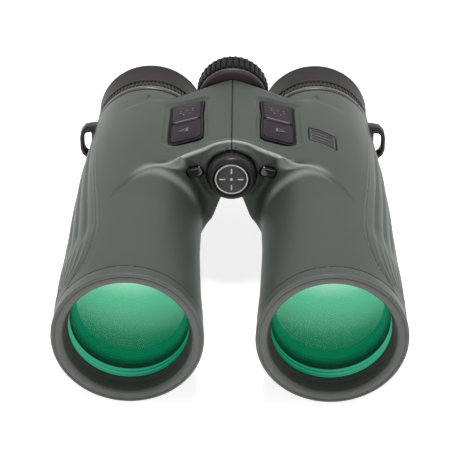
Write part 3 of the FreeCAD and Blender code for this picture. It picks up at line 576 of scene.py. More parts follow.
def joined_mesh(name: str, *meshes: bpy.types.Mesh) -> bpy.types.Mesh:
    """Several meshes as one, each closed part kept as it is."""
    work = bmesh.new()
    for mesh in meshes:
        work.from_mesh(mesh)
    result = bpy.data.meshes.new(name)
    work.to_mesh(result)
    work.free()
    return smooth(result)


# ---------------------------------------------------------------- repeated detail
class RingOfRibs:
    """A Geometry Nodes tree that sets rounded bars round an axis along Y."""

    INPUTS = (
        ("Count", "NodeSocketInt"),
        ("Radius", "NodeSocketFloat"),
        ("Start", "NodeSocketFloat"),
        ("Length", "NodeSocketFloat"),
        ("Half Width", "NodeSocketFloat"),
        ("Height", "NodeSocketFloat"),
        ("Centre", "NodeSocketVector"),
        ("Finish", "NodeSocketMaterial"),
    )

    def __init__(self) -> None:
        self.tree = bpy.data.node_groups.new("ring_of_ribs", "GeometryNodeTree")
        face = self.tree.interface
        face.new_socket("Geometry", in_out="OUTPUT", socket_type="NodeSocketGeometry")
        self.socket = {
            name: face.new_socket(name, in_out="INPUT", socket_type=kind).identifier for name, kind in self.INPUTS
        }
        self._wire()

    def _wire(self) -> None:
        """Lay out the tree."""
        new, link = self.tree.nodes.new, self.tree.links.new
        given, out = new("NodeGroupInput"), new("NodeGroupOutput")

        def value(name: str) -> bpy.types.NodeSocket:
            return given.outputs[name]

        circle = new("GeometryNodeCurvePrimitiveCircle")
        link(value("Radius"), circle.inputs["Radius"])
        points = new("GeometryNodeCurveToPoints")
        link(circle.outputs["Curve"], points.inputs["Curve"])
        link(value("Count"), points.inputs["Count"])
        circle.inputs["Resolution"].default_value = 256

        bar = new("GeometryNodeMeshCube")
        size = new("ShaderNodeCombineXYZ")
        doubled = new("ShaderNodeMath")
        doubled.operation = "MULTIPLY"
        doubled.inputs[1].default_value = 2.0
        link(value("Half Width"), doubled.inputs[0])
        link(doubled.outputs[0], size.inputs["X"])
        link(value("Height"), size.inputs["Y"])
        link(value("Length"), size.inputs["Z"])
        link(size.outputs[0], bar.inputs["Size"])
        bar.inputs["Vertices X"].default_value = 3
        bar.inputs["Vertices Y"].default_value = 3
        bar.inputs["Vertices Z"].default_value = 5
        soft = new("GeometryNodeSubdivisionSurface")
        soft.inputs["Level"].default_value = 1
        link(bar.outputs["Mesh"], soft.inputs["Mesh"])

        place = new("GeometryNodeInstanceOnPoints")
        link(points.outputs["Points"], place.inputs["Points"])
        link(soft.outputs["Mesh"], place.inputs["Instance"])
        around = new("GeometryNodeInputPosition")
        angle = new("ShaderNodeMath")
        angle.operation = "ARCTAN2"
        split = new("ShaderNodeSeparateXYZ")
        link(around.outputs[0], split.inputs[0])
        link(split.outputs["Y"], angle.inputs[0])
        link(split.outputs["X"], angle.inputs[1])
        quarter = new("ShaderNodeMath")
        quarter.operation = "SUBTRACT"
        quarter.inputs[1].default_value = math.pi / 2
        link(angle.outputs[0], quarter.inputs[0])
        turn = new("ShaderNodeCombineXYZ")
        link(quarter.outputs[0], turn.inputs["Z"])
        link(turn.outputs[0], place.inputs["Rotation"])

        tip = new("GeometryNodeTransform")
        tip.inputs["Rotation"].default_value = (math.pi / 2, 0.0, 0.0)
        link(place.outputs["Instances"], tip.inputs["Geometry"])
        half = new("ShaderNodeMath")
        half.operation = "MULTIPLY_ADD"
        half.inputs[1].default_value = 0.5
        link(value("Length"), half.inputs[0])
        link(value("Start"), half.inputs[2])
        along = new("ShaderNodeCombineXYZ")
        link(half.outputs[0], along.inputs["Y"])
        shift = new("ShaderNodeVectorMath")
        shift.operation = "ADD"
        link(value("Centre"), shift.inputs[0])
        link(along.outputs[0], shift.inputs[1])
        link(shift.outputs[0], tip.inputs["Translation"])
        solid = new("GeometryNodeRealizeInstances")
        link(tip.outputs["Geometry"], solid.inputs["Geometry"])
        dress = new("GeometryNodeSetMaterial")
        link(solid.outputs["Geometry"], dress.inputs["Geometry"])
        link(value("Finish"), dress.inputs["Material"])
        link(dress.outputs["Geometry"], out.inputs["Geometry"])

    def make(
        self, name: str, body: str, slot: str, finish: bpy.types.Material, **sizes: float | Vector
    ) -> bpy.types.Object:
        """Build one ring of ribs as a plain mesh.

        Args:
            name: the piece's name.
            body: the body it rides on.
            slot: the record's material slot; not used.
            finish: its material.
            sizes: the tree's inputs, with underscores for spaces.

        Returns:
            The piece.
        """
        carrier = bpy.data.objects.new(name + "_tree", bpy.data.meshes.new(name + "_empty"))
        bpy.context.scene.collection.objects.link(carrier)
        modifier = carrier.modifiers.new("ribs", "NODES")
        modifier.node_group = self.tree
        for key, value in {**sizes, "Finish": finish}.items():
            modifier[self.socket[key.replace("_", " ")]] = value
        graph = bpy.context.evaluated_depsgraph_get()
        mesh = bpy.data.meshes.new_from_object(carrier.evaluated_get(graph))
        mesh.name = name
        bpy.data.objects.remove(carrier)
        for face in mesh.polygons:
            face.use_smooth = True
        piece = bpy.data.objects.new(name, mesh)
        bpy.context.scene.collection.objects.link(piece)
        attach(piece, body)
        log.info("%s: %d faces on %s", name, len(mesh.polygons), body)
        return piece


# ---------------------------------------------------------------- the armour as a field
def smooth_min(a: np.ndarray, b: np.ndarray, k: float) -> np.ndarray:
    """The lower of two fields, blended over a width k."""
    share = np.clip(0.5 + 0.5 * (b - a) / k, 0.0, 1.0)
    return b * (1 - share) + a * share - k * share * (1 - share)


def smooth_max(a: np.ndarray, b: np.ndarray, k: float) -> np.ndarray:
    """The higher of two fields, blended over a width k."""
    return -smooth_min(-a, -b, k)


def rise_between(x: np.ndarray, low: float, high: float) -> np.ndarray:
    """A smooth 0 to 1 rise between two values."""
    t = np.clip((x - low) / (high - low), 0.0, 1.0)
    return t * t * (3 - 2 * t)


def curve_through(stations: Sequence[tuple[float, float]], soften: float) -> Callable[[np.ndarray], np.ndarray]:
    """A smooth curve near a few stations.

    Args:
        stations: (position, value) pairs in order.
        soften: width in millimetres over which the corners are rounded.

    Returns:
        A function of position.
    """
    step = 0.5
    grid = np.arange(-60.0, 260.0, step)
    plain = np.interp(grid, [s[0] for s in stations], [s[1] for s in stations])
    reach = np.arange(-4 * soften, 4 * soften + step, step)
    weights = np.exp(-0.5 * (reach / soften) ** 2)
    rounded = np.convolve(np.pad(plain, len(reach) // 2, mode="edge"), weights / weights.sum(), mode="valid")
    return lambda x: np.interp(x, grid, rounded[: len(grid)])


@dataclass
class ArmourShape:
    """The rubber skin of one half, as a field in millimetres that is negative inside."""

    side: Side
    spacing: float = 73.0
    hinge: float = 20.0
    wall: float = 2.0
    front: float = 5.0
    tail: float = 154.9
    knuckle_room: float = 10.12
    cut_back: float = math.radians(19.5)
    pad_depth: float = 118.0
    pad_half: tuple[float, float] = (7.3, 17.9)
    rib_pitch: float = math.radians(11.5)

    def __post_init__(self) -> None:
        """Work out the barrel's curves."""
        self.radius = curve_through(
            [(0, 27.2), (6, 27.1), (16, 26.9), (26, 26.6), (58, 25.9), (78, 26.0), (100, 26.3), (116, 26.2),
             (136, 25.2), (150, 24.2), (158, 23.4)], 3.5)
        self.shift = curve_through(
            [(0, 0.0), (9, 0.0), (26, 0.9), (60, 1.55), (80, 1.4), (100, 0.8), (116, 0.4), (140, 0.0)], 5.0)
        self.grip_edge = curve_through(
            [(0, math.radians(31)), (5, math.radians(36)), (15, math.radians(55)), (25, math.radians(60)),
             (38, math.radians(63)), (58, math.radians(59)), (79, math.radians(52.5)), (110, math.radians(43)),
             (140, math.radians(33)), (156, math.radians(28))], 3.0)

    def crease(self, across: np.ndarray) -> np.ndarray:
        """Depth of the front crease of the bridge at a distance from the seam."""
        return CREASE_DEPTH - CREASE_BOW * (np.maximum(across, 0) / CREASE_SPAN) ** 2.8

    def rear_edge(self, across: np.ndarray) -> np.ndarray:
        """Depth of the bridge's rear edge at a distance from the seam."""
        return 150.0 - 12.8 * (np.maximum(across, 0) / 40.0) ** 1.3

    def deck(self, across: np.ndarray) -> np.ndarray:
        """Height of the bridge's top at a distance from the seam."""
        return 32.05 - math.tan(PAD_SLOPE) * np.sqrt(across**2 + 13.7)

    def pad_frame(self, across: np.ndarray, depth: np.ndarray, rise: np.ndarray) -> tuple:
        """Coordinates in the keypad's own sloping frame."""
        dx, dz = across - PAD_ACROSS, rise - PAD_RISE
        c, s = math.cos(PAD_SLOPE), math.sin(PAD_SLOPE)
        return dx * c - dz * s, depth - self.pad_depth, dx * s + dz * c

    def pad_distance(self, u: np.ndarray, v: np.ndarray, grow: float, corner: float) -> np.ndarray:
        """Distance outside a rounded rectangle round the keypad, in its plane."""
        waist = 0.55 * np.exp(-(((v - 4.0) / 6.5) ** 2)) * (u < 0)
        qx = np.abs(u) + waist - (self.pad_half[0] + grow - corner)
        qy = np.abs(v) - (self.pad_half[1] + grow - corner)
        outside = np.hypot(np.maximum(qx, 0), np.maximum(qy, 0))
        return outside + np.minimum(np.maximum(qx, qy), 0) - corner

    def grip(self, angle: np.ndarray, depth: np.ndarray) -> np.ndarray:
        """How far the grip's grooves sink (negative) or its lines stand up (positive)."""
        edge = self.grip_edge(depth)
        u = (edge - angle) / self.rib_pitch
        along = rise_between(depth, 30, 46) * (1 - rise_between(depth, 138, 150))
        whole = np.abs(u - np.round(u))
        groove = np.exp(-((whole / 0.20) ** 2)) * ((u > 0.5) & (u < 7.4))
        line = np.exp(-((u * 26.5 * self.rib_pitch / 0.42) ** 2)) * (1 - rise_between(depth, 140, 152))
        sink = -0.35 * rise_between(u, 0.0, 0.25) * (1 - rise_between(u, 6.9, 7.4)) * along
        fan = rise_between(depth, 4, 12) * (1 - rise_between(depth, 24, 38))
        fan_phase = u * 1.75
        thin = np.exp(-(((fan_phase - np.round(fan_phase)) / 0.16) ** 2)) * ((u > 0.3) & (u < 3.6))
        lip = np.exp(-(((u + 0.16) * 26.5 * self.rib_pitch / 0.5) ** 2)) * (1 - rise_between(depth, 140, 152))
        return sink - 0.85 * groove * along - 0.42 * line + 0.14 * lip + 0.30 * thin * fan

    def solid(self, across: np.ndarray, depth: np.ndarray, rise: np.ndarray) -> np.ndarray:
        """The outer form before anything is cut from it."""
        px = across - self.spacing / 2 - self.shift(depth)
        rho = np.hypot(px, rise)
        angle = np.arctan2(rise, px)
        barrel = rho - self.radius(depth) - self.grip(angle, depth)
        cape = (
            0.85
            * rise_between(depth - self.crease(across), -0.5, 0.5)
            * rise_between(self.rear_edge(across) - depth, -0.4, 0.4)
            * (1 - rise_between(across, 36, 49))
            * rise_between(rise, 0, 10)
        )
        barrel = barrel - cape
        top = (rise - self.deck(across)) * math.cos(PAD_SLOPE)
        drop = np.maximum(self.deck(across) - rise, 0)
        front = (self.crease(across) - 0.275 * drop - 1.1 * (1 - np.exp(-drop / 0.7)) - depth) * 0.96
        front = np.maximum(front, 87.9 - depth)
        below = -((rise + 1.6) * 0.766 + (across - 6.9) * 0.643)
        plate = smooth_max(smooth_max(top, front, 0.9), below, 3.0)
        plate = smooth_max(plate, depth - self.rear_edge(across), 1.2)
        plate = np.maximum(plate, across - self.spacing / 2)
        form = smooth_min(barrel, plate, 4.5)
        hub = np.hypot(across, rise - self.hinge) - 11.6
        boss = smooth_max(hub, 85.8 - depth, 1.6)
        boss = np.maximum(smooth_max(boss, top + 0.25, 0.6), depth - 93.0)
        form = smooth_min(form, boss, 3.2)
        fold = (self.crease(across) - depth) + 0.55 * np.maximum(self.deck(across) - rise, 0)
        line = np.exp(-((fold / 0.75) ** 2)) * (np.abs(self.deck(across) - rise) < 3.0) * (across < 40)
        form = form - 0.30 * line
        # the wheel stands in a shallow scoop of the rear edge
        scoop = np.maximum(np.hypot(across, rise - self.hinge) - 15.9, 150.6 - depth)
        form = np.maximum(form, -scoop)
        u, v, w = self.pad_frame(across, depth, rise)
        around = self.pad_distance(u, v, 1.9, 3.4)
        near = (1 - rise_between(around, -0.35, 0.35)) * (np.abs(w) < 6)
        bead = np.exp(-(((around - 0.45) / 0.42) ** 2)) * (np.abs(w) < 6) * (1 - rise_between(v, 4, 16))
        seam = np.exp(-(((across - 0.75) / 0.45) ** 2)) * (rise > self.hinge + 6)
        return form + 0.42 * near - 0.16 * bead - 0.14 * seam

    def __call__(self, across: np.ndarray, depth: np.ndarray, rise: np.ndarray) -> np.ndarray:
        """The finished skin."""
        form = self.solid(across, depth, rise)
        skin = np.maximum(form, -(form + self.wall))
        ends = np.maximum(self.front - depth, depth - self.tail)
        skin = np.maximum(skin, ends)
        rho = np.hypot(across - self.spacing / 2, rise)
        room = rise_between(depth, 12, 24) * (1 - rise_between(depth, 104, 116))
        skin = np.maximum(skin, self.radius(depth) - self.wall - room - rho)
        seam = 0.15 - across
        c, s = math.cos(self.cut_back), math.sin(self.cut_back)
        wedge = 0.15 - (across * c + (rise - self.hinge) * s)
        skin = np.maximum(skin, np.maximum(seam, wedge))
        hinge = np.hypot(across, rise - self.hinge)
        skin = np.maximum(skin, self.knuckle_room - hinge)
        u, v, w = self.pad_frame(across, depth, rise)
        key_well = np.maximum(self.pad_distance(u, v, 0.15, 2.4), np.abs(w) - 6)
        skin = np.maximum(skin, -key_well)
        c, s = math.cos(WINDOW_TILT), math.sin(WINDOW_TILT)
        dx, dz = across - WINDOW_ACROSS, rise - self.hinge
        qx = np.maximum(np.abs(dx * c - dz * s) - 1.5, 0)
        pill = np.maximum(np.hypot(qx, dx * s + dz * c) - 2.2, np.abs(depth - 89) - 6)
        skin = np.maximum(skin, -pill)
        lug = np.maximum(np.abs(rise - 1.2) - 8.9, np.abs(depth - 149.5) - 2.65)
        lug = np.maximum(lug, 56 - across)
        skin = np.maximum(skin, -lug)
        if self.side is Side.RIGHT:
            aside = across - BADGE_ACROSS
            slide = np.abs(depth - BADGE_DEPTH + aside * BADGE_SKEW) - 5.55
            plate = np.maximum(np.abs(aside) - 5.55, slide * 0.762)
            skin = np.maximum(skin, -np.maximum(plate, 20 - rise))
        if self.side is Side.LEFT:
            door = np.maximum(np.abs(across - 14.5) - 7.95, np.abs(depth - 131.05) - 13.65)
            skin = np.maximum(skin, -np.maximum(door, rise - 8.0))
        return skin


def surface_net(values: np.ndarray, origin: np.ndarray, step: np.ndarray) -> tuple[np.ndarray, np.ndarray]:
    """Quads round the zero level of a field sampled on a grid.

    Args:
        values: the field, negative inside.
        origin: the grid's first point.
        step: the grid's spacing on each axis.

    Returns:
        Points and quads, facing outwards.
    """
    inside = values < 0
    shape = np.array(values.shape) - 1
    count = np.zeros(shape, np.int8)
    for dx, dy, dz in itertools.product((0, 1), repeat=3):
        count += inside[dx:shape[0] + dx, dy:shape[1] + dy, dz:shape[2] + dz]
    active = (count > 0) & (count < 8)
    cells = np.argwhere(active)
    number = np.full(shape, -1, np.int64)
    number[active] = np.arange(len(cells))
    total, hits = np.zeros((len(cells), 3)), np.zeros(len(cells))
    for axis in range(3):
        others = [a for a in range(3) if a != axis]
        for first, second in itertools.product((0, 1), repeat=2):
            offset = np.zeros(3, int)
            offset[others[0]], offset[others[1]] = first, second
            low = cells + offset
            high = low.copy()
            high[:, axis] += 1
            a, b = values[tuple(low.T)], values[tuple(high.T)]
            crosses = (a < 0) != (b < 0)
            share = np.where(crosses, a / np.where(crosses, a - b, 1), 0)
            point = np.tile(offset.astype(float), (len(cells), 1))
            point[:, axis] = share
            total[crosses] += point[crosses]
            hits[crosses] += 1
    points = origin + step * (cells + total / hits[:, None])
    quads = []
    for axis in range(3):
        u, v = [(axis + 1) % 3, (axis + 2) % 3]
        low = [slice(None)] * 3
        high = [slice(None)] * 3
        low[axis], high[axis] = slice(0, -1), slice(1, None)
        change = inside[tuple(low)] != inside[tuple(high)]
        edge = np.argwhere(change)
        keep = (edge[:, u] > 0) & (edge[:, v] > 0) & (edge[:, u] < shape[u]) & (edge[:, v] < shape[v])
        edge = edge[keep]
        corners = []
        for du, dv in ((0, 0), (-1, 0), (-1, -1), (0, -1)):
            cell = edge.copy()
            cell[:, u] += du
            cell[:, v] += dv
            corners.append(number[tuple(cell.T)])
        quad = np.stack(corners, axis=1)
        outward = inside[tuple(edge.T)]
        quad[~outward] = quad[~outward][:, ::-1]
        quads.append(quad)
    return points, np.concatenate(quads)


def settle(points: np.ndarray, field: Callable, rounds: int = 2, longest: float = 0.35) -> np.ndarray:
    """Move points onto a field's zero level."""
    small = 0.02
    for _ in range(rounds):
        value = field(*points.T)
        slope = np.stack([
            (field(*(points + small * np.eye(3)[k]).T) - field(*(points - small * np.eye(3)[k]).T)) / (2 * small)
            for k in range(3)
        ], axis=1)
        size = np.maximum((slope**2).sum(1), 0.25)
        move = -(value / size)[:, None] * slope
        length = np.linalg.norm(move, axis=1, keepdims=True)
        points = points + move * np.minimum(1.0, longest / np.maximum(length, 1e-9))
    return points


class ArmourHalf:
    """One half's rubber skin and what is let into it."""

    def __init__(self, side: Side, finishes: Finishes) -> None:
        self.side = side
        self.shape = ArmourShape(side)
        self.finishes = finishes

    def grid(self) -> tuple[np.ndarray, np.ndarray, list[np.ndarray]]:
        """The sampling grid in millimetres."""
        step = np.array([0.62, 0.95, 0.62]) * 1.0
        low, high = np.array([-1.3, 3.1, -29.5]), np.array([66.5, 158.3, 34.5])
        lines = [np.arange(a, b, s) for a, b, s in zip(low, high, step)]
        return low, step, lines

    def mesh_of(self, field: Callable, name: str) -> bpy.types.Mesh:
        """Turn a field into a mesh in the object's frame.

        Args:
            field: function of across, depth and rise in millimetres.
            name: the mesh's name.

        Returns:
            The mesh.
        """
        low, step, lines = self.grid()
        values = field(*np.meshgrid(*lines, indexing="ij"))
        points, quads = surface_net(values, low, step)
        points = settle(points, field)
        sign = self.side.value
        placed = np.stack([
            points[:, 0] * sign,
            points[:, 1] + DATUM / MM,
            points[:, 2] + AXIS_RISE / MM,
        ], axis=1) * MM
        if sign < 0:
            quads = quads[:, ::-1]
        mesh = bpy.data.meshes.new(name)
        mesh.from_pydata(placed.tolist(), [], quads.tolist())
        mesh.validate()
        return smooth(mesh, 38.0)

    def build(self) -> None:
        """Make the armour and, on the left, the battery cover that completes its underside."""
        word = self.side.word
        name = f"{word}_armour_skin"
        skin = new_piece(name, self.mesh_of(self.shape, name), self.side.body, "armour", self.finishes.armour)
        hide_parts(f"{word}_armour")
        if self.side is Side.LEFT:
            cover = new_piece("battery_cover", self.mesh_of(self.cover_field, "battery_cover"),
                              self.side.body, "armour", self.finishes.armour)
            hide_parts("battery_hatch")

    def cover_field(self, across: np.ndarray, depth: np.ndarray, rise: np.ndarray) -> np.ndarray:
        """The battery cover: the underside's own form between the edges of its opening."""
        form = self.shape.solid(across, depth, rise)
        plate = np.maximum(form, -(form + 1.9))
        edges = np.maximum(np.abs(across - 14.5) - 7.7, np.abs(depth - 131.05) - 13.4)
        c, s = math.cos(self.shape.cut_back), math.sin(self.shape.cut_back)
        wedge = 0.15 - (across * c + (rise - self.shape.hinge) * s)
        ribs = 0.35 * np.exp(-((((depth - 131.05) / 2.2) - np.round((depth - 131.05) / 2.2)) / 0.22) ** 2)
        grip = ribs * (np.abs(depth - 131.05) < 7) * (np.abs(across - 13.0) < 4)
        plate = np.maximum(plate, np.maximum(edges, wedge)) + grip
        return np.maximum(plate, rise - 6.0)


# ---------------------------------------------------------------- barrels
@dataclass
class BarrelOptics:
    """Rim, tube and glass of one barrel."""

    side: Side
    finishes: Finishes

    def centre(self) -> Vector:
        """A point on the optical axis."""
        low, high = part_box(f"{self.side.word}_rim_ring")
        return Vector(((low[0] + high[0]) / 2, 0.0, (low[2] + high[2]) / 2))

    def build(self) -> None:
        """Make every visible piece of the barrel's front end."""
        word, middle = self.side.word, self.centre()
        y0 = DATUM

        def at(points: Sequence[tuple[float, float]]) -> list[tuple[float, float]]:
            return [(r * MM, y0 + d * MM) for r, d in points]

        rim = turned(f"{word}_rim", at([
            (22.62, 4.98), (22.9, 0.9), (23.15, 0.15), (23.7, -0.55), (24.6, -0.95), (25.75, -0.9), (26.0, -0.62),
            (26.25, -0.62), (26.5, -0.95), (27.0, -0.98), (27.38, -0.6), (27.4, 0.2), (27.3, 1.1), (27.15, 4.98),
        ]), middle, bevel=0.00022, steps=192)
        inside, outside = 1, 2
        for face in rim.polygons:
            away = math.hypot(face.center.x - middle.x, face.center.z - middle.z) / MM
            if away < 23.2:
                face.material_index = inside
            elif away > 26.9 and face.center.y > y0:
                face.material_index = outside
        piece = new_piece(f"{word}_rim", rim, self.side.body, "rim", self.finishes.rim, self.finishes.tube,
                          self.finishes.armour)
        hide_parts(f"{word}_rim_ring")

        stair = [(18.9, 25.4), (20.05, 25.4), (20.05, 21.9)]
        stair += [(20.3 + 0.25 * k, 21.4 - 1.6 * k + d) for k in range(5) for d in (0.0, -1.2)]
        tube = turned(f"{word}_tube_bore", at([
            (22.58, 5.0), (23.5, 5.0), (23.5, 40.0), (18.9, 40.0), *stair, (21.6, 12.4), (21.82, 12.1), (21.82, 6.9),
            (21.95, 6.35), (22.3, 6.3), (22.45, 5.9),
        ]), middle, bevel=0.0001, steps=160, turns=2)
        for face in tube.polygons:
            # faces deep in the bore take the painted green glow
            if face.center.y > y0 + 6.6 * MM:
                face.material_index = 1
            elif face.center.y > y0 + 6.2 * MM:
                face.material_index = 2
        piece = new_piece(f"{word}_tube_bore", tube, self.side.body, "inner_tube", self.finishes.tube,
                          self.finishes.lit_wall, self.finishes.eyepiece)
        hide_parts(f"{word}_objective_tube")

        self.front_lens(word, middle, y0)
        self.rear_lens(word, middle, y0)

    def front_lens(self, word: str, middle: Vector, y0: float) -> None:
        """The coated front element: a clear domed face with a painted reflection and a ground edge with a painted green
        glow.
        """
        radius, curve = 21.78, 140.0
        face = [(0.0, self.dome(0.0, radius, curve, 7.0))]
        face += [(radius * k / 14, self.dome(radius * k / 14, radius, curve, 7.0)) for k in range(1, 15)]
        profile = [(r * MM, y0 + d * MM) for r, d in face] + [(radius * MM, y0 + 12.0 * MM), (0.0, y0 + 11.0 * MM)]
        lens = turned(f"{word}_front_lens", profile, middle, bevel=0.0, steps=160)
        lens.materials.append(self.finishes.front_glass)
        lens.materials.append(self.finishes.glass_edge)
        # the side faces take the edge's painted green glow
        for face in lens.polygons:
            if abs(face.normal.y) < 0.5:
                face.material_index = 1
        piece = new_piece(f"{word}_front_lens", lens, self.side.body, "coated_glass")
        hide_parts(f"{word}_objective_lens")

    def rear_lens(self, word: str, middle: Vector, y0: float) -> None:
        """The coated rear element, whose hollow face glows with a painted green reflection."""
        radius, curve = 20.0, -160.0
        face = [(radius * k / 14, self.dome(radius * k / 14, radius, curve, 22.0)) for k in range(15)]
        profile = [(r * MM, y0 + d * MM) for r, d in face] + [(radius * MM, y0 + 25.0 * MM), (0.0, y0 + 25.0 * MM)]
        lens = turned(f"{word}_rear_lens", profile, middle, bevel=0.0, steps=160)
        piece = new_piece(f"{word}_rear_lens", lens, self.side.body, "glass", self.finishes.rear_glass)
        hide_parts(f"{word}_objective_rear_lens")

    @staticmethod
    def dome(r: float, edge_radius: float, curve: float, edge_depth: float) -> float:
        """Depth of a spherical face at a radius; a positive curve bulges forwards."""
        reach = math.sqrt(curve**2 - edge_radius**2)
        rise = math.sqrt(curve**2 - r**2) - reach
        return edge_depth - math.copysign(rise, curve)


@dataclass
class Eyepiece:
    """Rings, turning band and rubber cup of one eyepiece."""

    side: Side
    finishes: Finishes
    ribs: RingOfRibs

    def build(self) -> None:
        """Make the eyepiece from front to rear."""
        word, finishes = self.side.word, self.finishes
        low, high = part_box(f"{word}_eyecup_band")
        middle = Vector(((low[0] + high[0]) / 2, 0.0, (low[2] + high[2]) / 2))
        y0 = DATUM

        def at(points: Sequence[tuple[float, float]]) -> list[tuple[float, float]]:
            return [(r * MM, y0 + d * MM) for r, d in points]

        ring_mesh = turned(f"{word}_grey_ring", at([
            (17.06, 156.62), (22.6, 156.62), (23.3, 156.85), (23.65, 157.4), (23.7, 158.9), (23.4, 159.6),
            (22.8, 159.95), (17.06, 159.95),
        ]), middle, bevel=0.0003, steps=192)
        if self.side is Side.RIGHT:
            ring = new_piece("diopter_ring_turned", ring_mesh, "diopter_ring", "eyepiece", finishes.ring)
            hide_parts("diopter_ring")
            self.ribs.make("diopter_ring_ticks", "diopter_ring", "eyepiece", finishes.band, Count=9, Radius=0.02366,
                           Start=y0 + 0.1574, Length=0.0016, Half_Width=0.00022, Height=0.0003,
                           Centre=(middle.x, 0.0, middle.z))
        else:
            new_piece("left_grey_ring", ring_mesh, self.side.body, "eyepiece", finishes.ring)

        band = new_piece(f"{word}_band", turned(f"{word}_band", at([
            (17.06, 160.25), (22.5, 160.25), (22.95, 160.6), (22.95, 164.2), (22.6, 164.55), (17.06, 164.55),
        ]), middle, bevel=0.0002, steps=160), f"{word}_eyecup_band", "eyepiece", finishes.band)
        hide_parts(f"{word}_eyecup_band")
        self.ribs.make(f"{word}_band_ribs", f"{word}_eyecup_band", "eyepiece", finishes.band, Count=84,
                       Radius=0.02293, Start=y0 + 0.1607, Length=0.0034, Half_Width=0.00040, Height=0.0010,
                       Centre=(middle.x, 0.0, middle.z))

        lip = new_piece(f"{word}_cup_rubber", turned(f"{word}_cup_rubber", at([
            (19.3, 164.8), (22.6, 164.8), (23.2, 165.0), (23.45, 165.6), (23.3, 166.2), (22.95, 166.7),
            (23.0, 169.0), (23.1, 173.0), (23.3, 177.5), (23.5, 179.6), (23.3, 180.9), (22.5, 181.7),
            (21.2, 181.98), (19.6, 181.8), (18.2, 181.1), (17.6, 180.1), (17.5, 179.42), (19.3, 179.42),
        ]), middle, bevel=0.0006, steps=192, turns=4), f"{word}_eyecup", "eyecup_rubber", finishes.cup)
        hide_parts(f"{word}_eyecup_rubber")
        core = new_piece(f"{word}_cup_core", turned(f"{word}_cup_core", at([
            (17.08, 164.82), (19.28, 164.82), (19.28, 179.4), (17.08, 179.4),
        ]), middle, bevel=0.0002, steps=160), f"{word}_eyecup", "eyepiece", finishes.eyepiece)
        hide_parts(f"{word}_eyecup_core")
        self.tube(word, middle, at)

    def tube(self, word: str, middle: Vector, at: Callable) -> None:
        """The fixed eyepiece tube and the lenses that close it."""
        tube = new_piece(f"{word}_ocular_tube", turned(f"{word}_ocular_tube", at([
            (14.62, 146.0), (17.0, 146.0), (17.0, 174.0), (15.4, 174.0), (14.6, 173.4), (12.2, 173.2), (11.75, 172.7),
            (12.5, 172.4), (12.5, 167.7), (14.62, 166.2),
        ]), middle, bevel=0.0002, steps=160), self.side.body, "eyepiece", self.finishes.eyepiece)
        new_piece(f"{word}_ocular_flange", turned(f"{word}_ocular_flange", at([
            (16.9, 154.0), (21.6, 154.0), (21.6, 156.58), (16.9, 156.58),
        ]), middle, bevel=0.0001, steps=128), self.side.body, "eyepiece", self.finishes.eyepiece)
        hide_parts(f"{word}_eyepiece_tube")
        radius, curve = 12.4, 34.0
        reach = math.sqrt(curve**2 - radius**2)
        face = [(radius * k / 12, 172.3 - 1.6 + (math.sqrt(curve**2 - (radius * k / 12) ** 2) - reach) * 0.7)
                for k in range(12, -1, -1)]
        glass = turned(f"{word}_eye_glass", at([(0.0, 168.2), (radius, 168.2), *face]), middle, bevel=0.0, steps=128)
        piece = new_piece(f"{word}_eye_glass", glass, self.side.body, "glass", self.finishes.eye_glass)
        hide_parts(f"{word}_eye_lens")


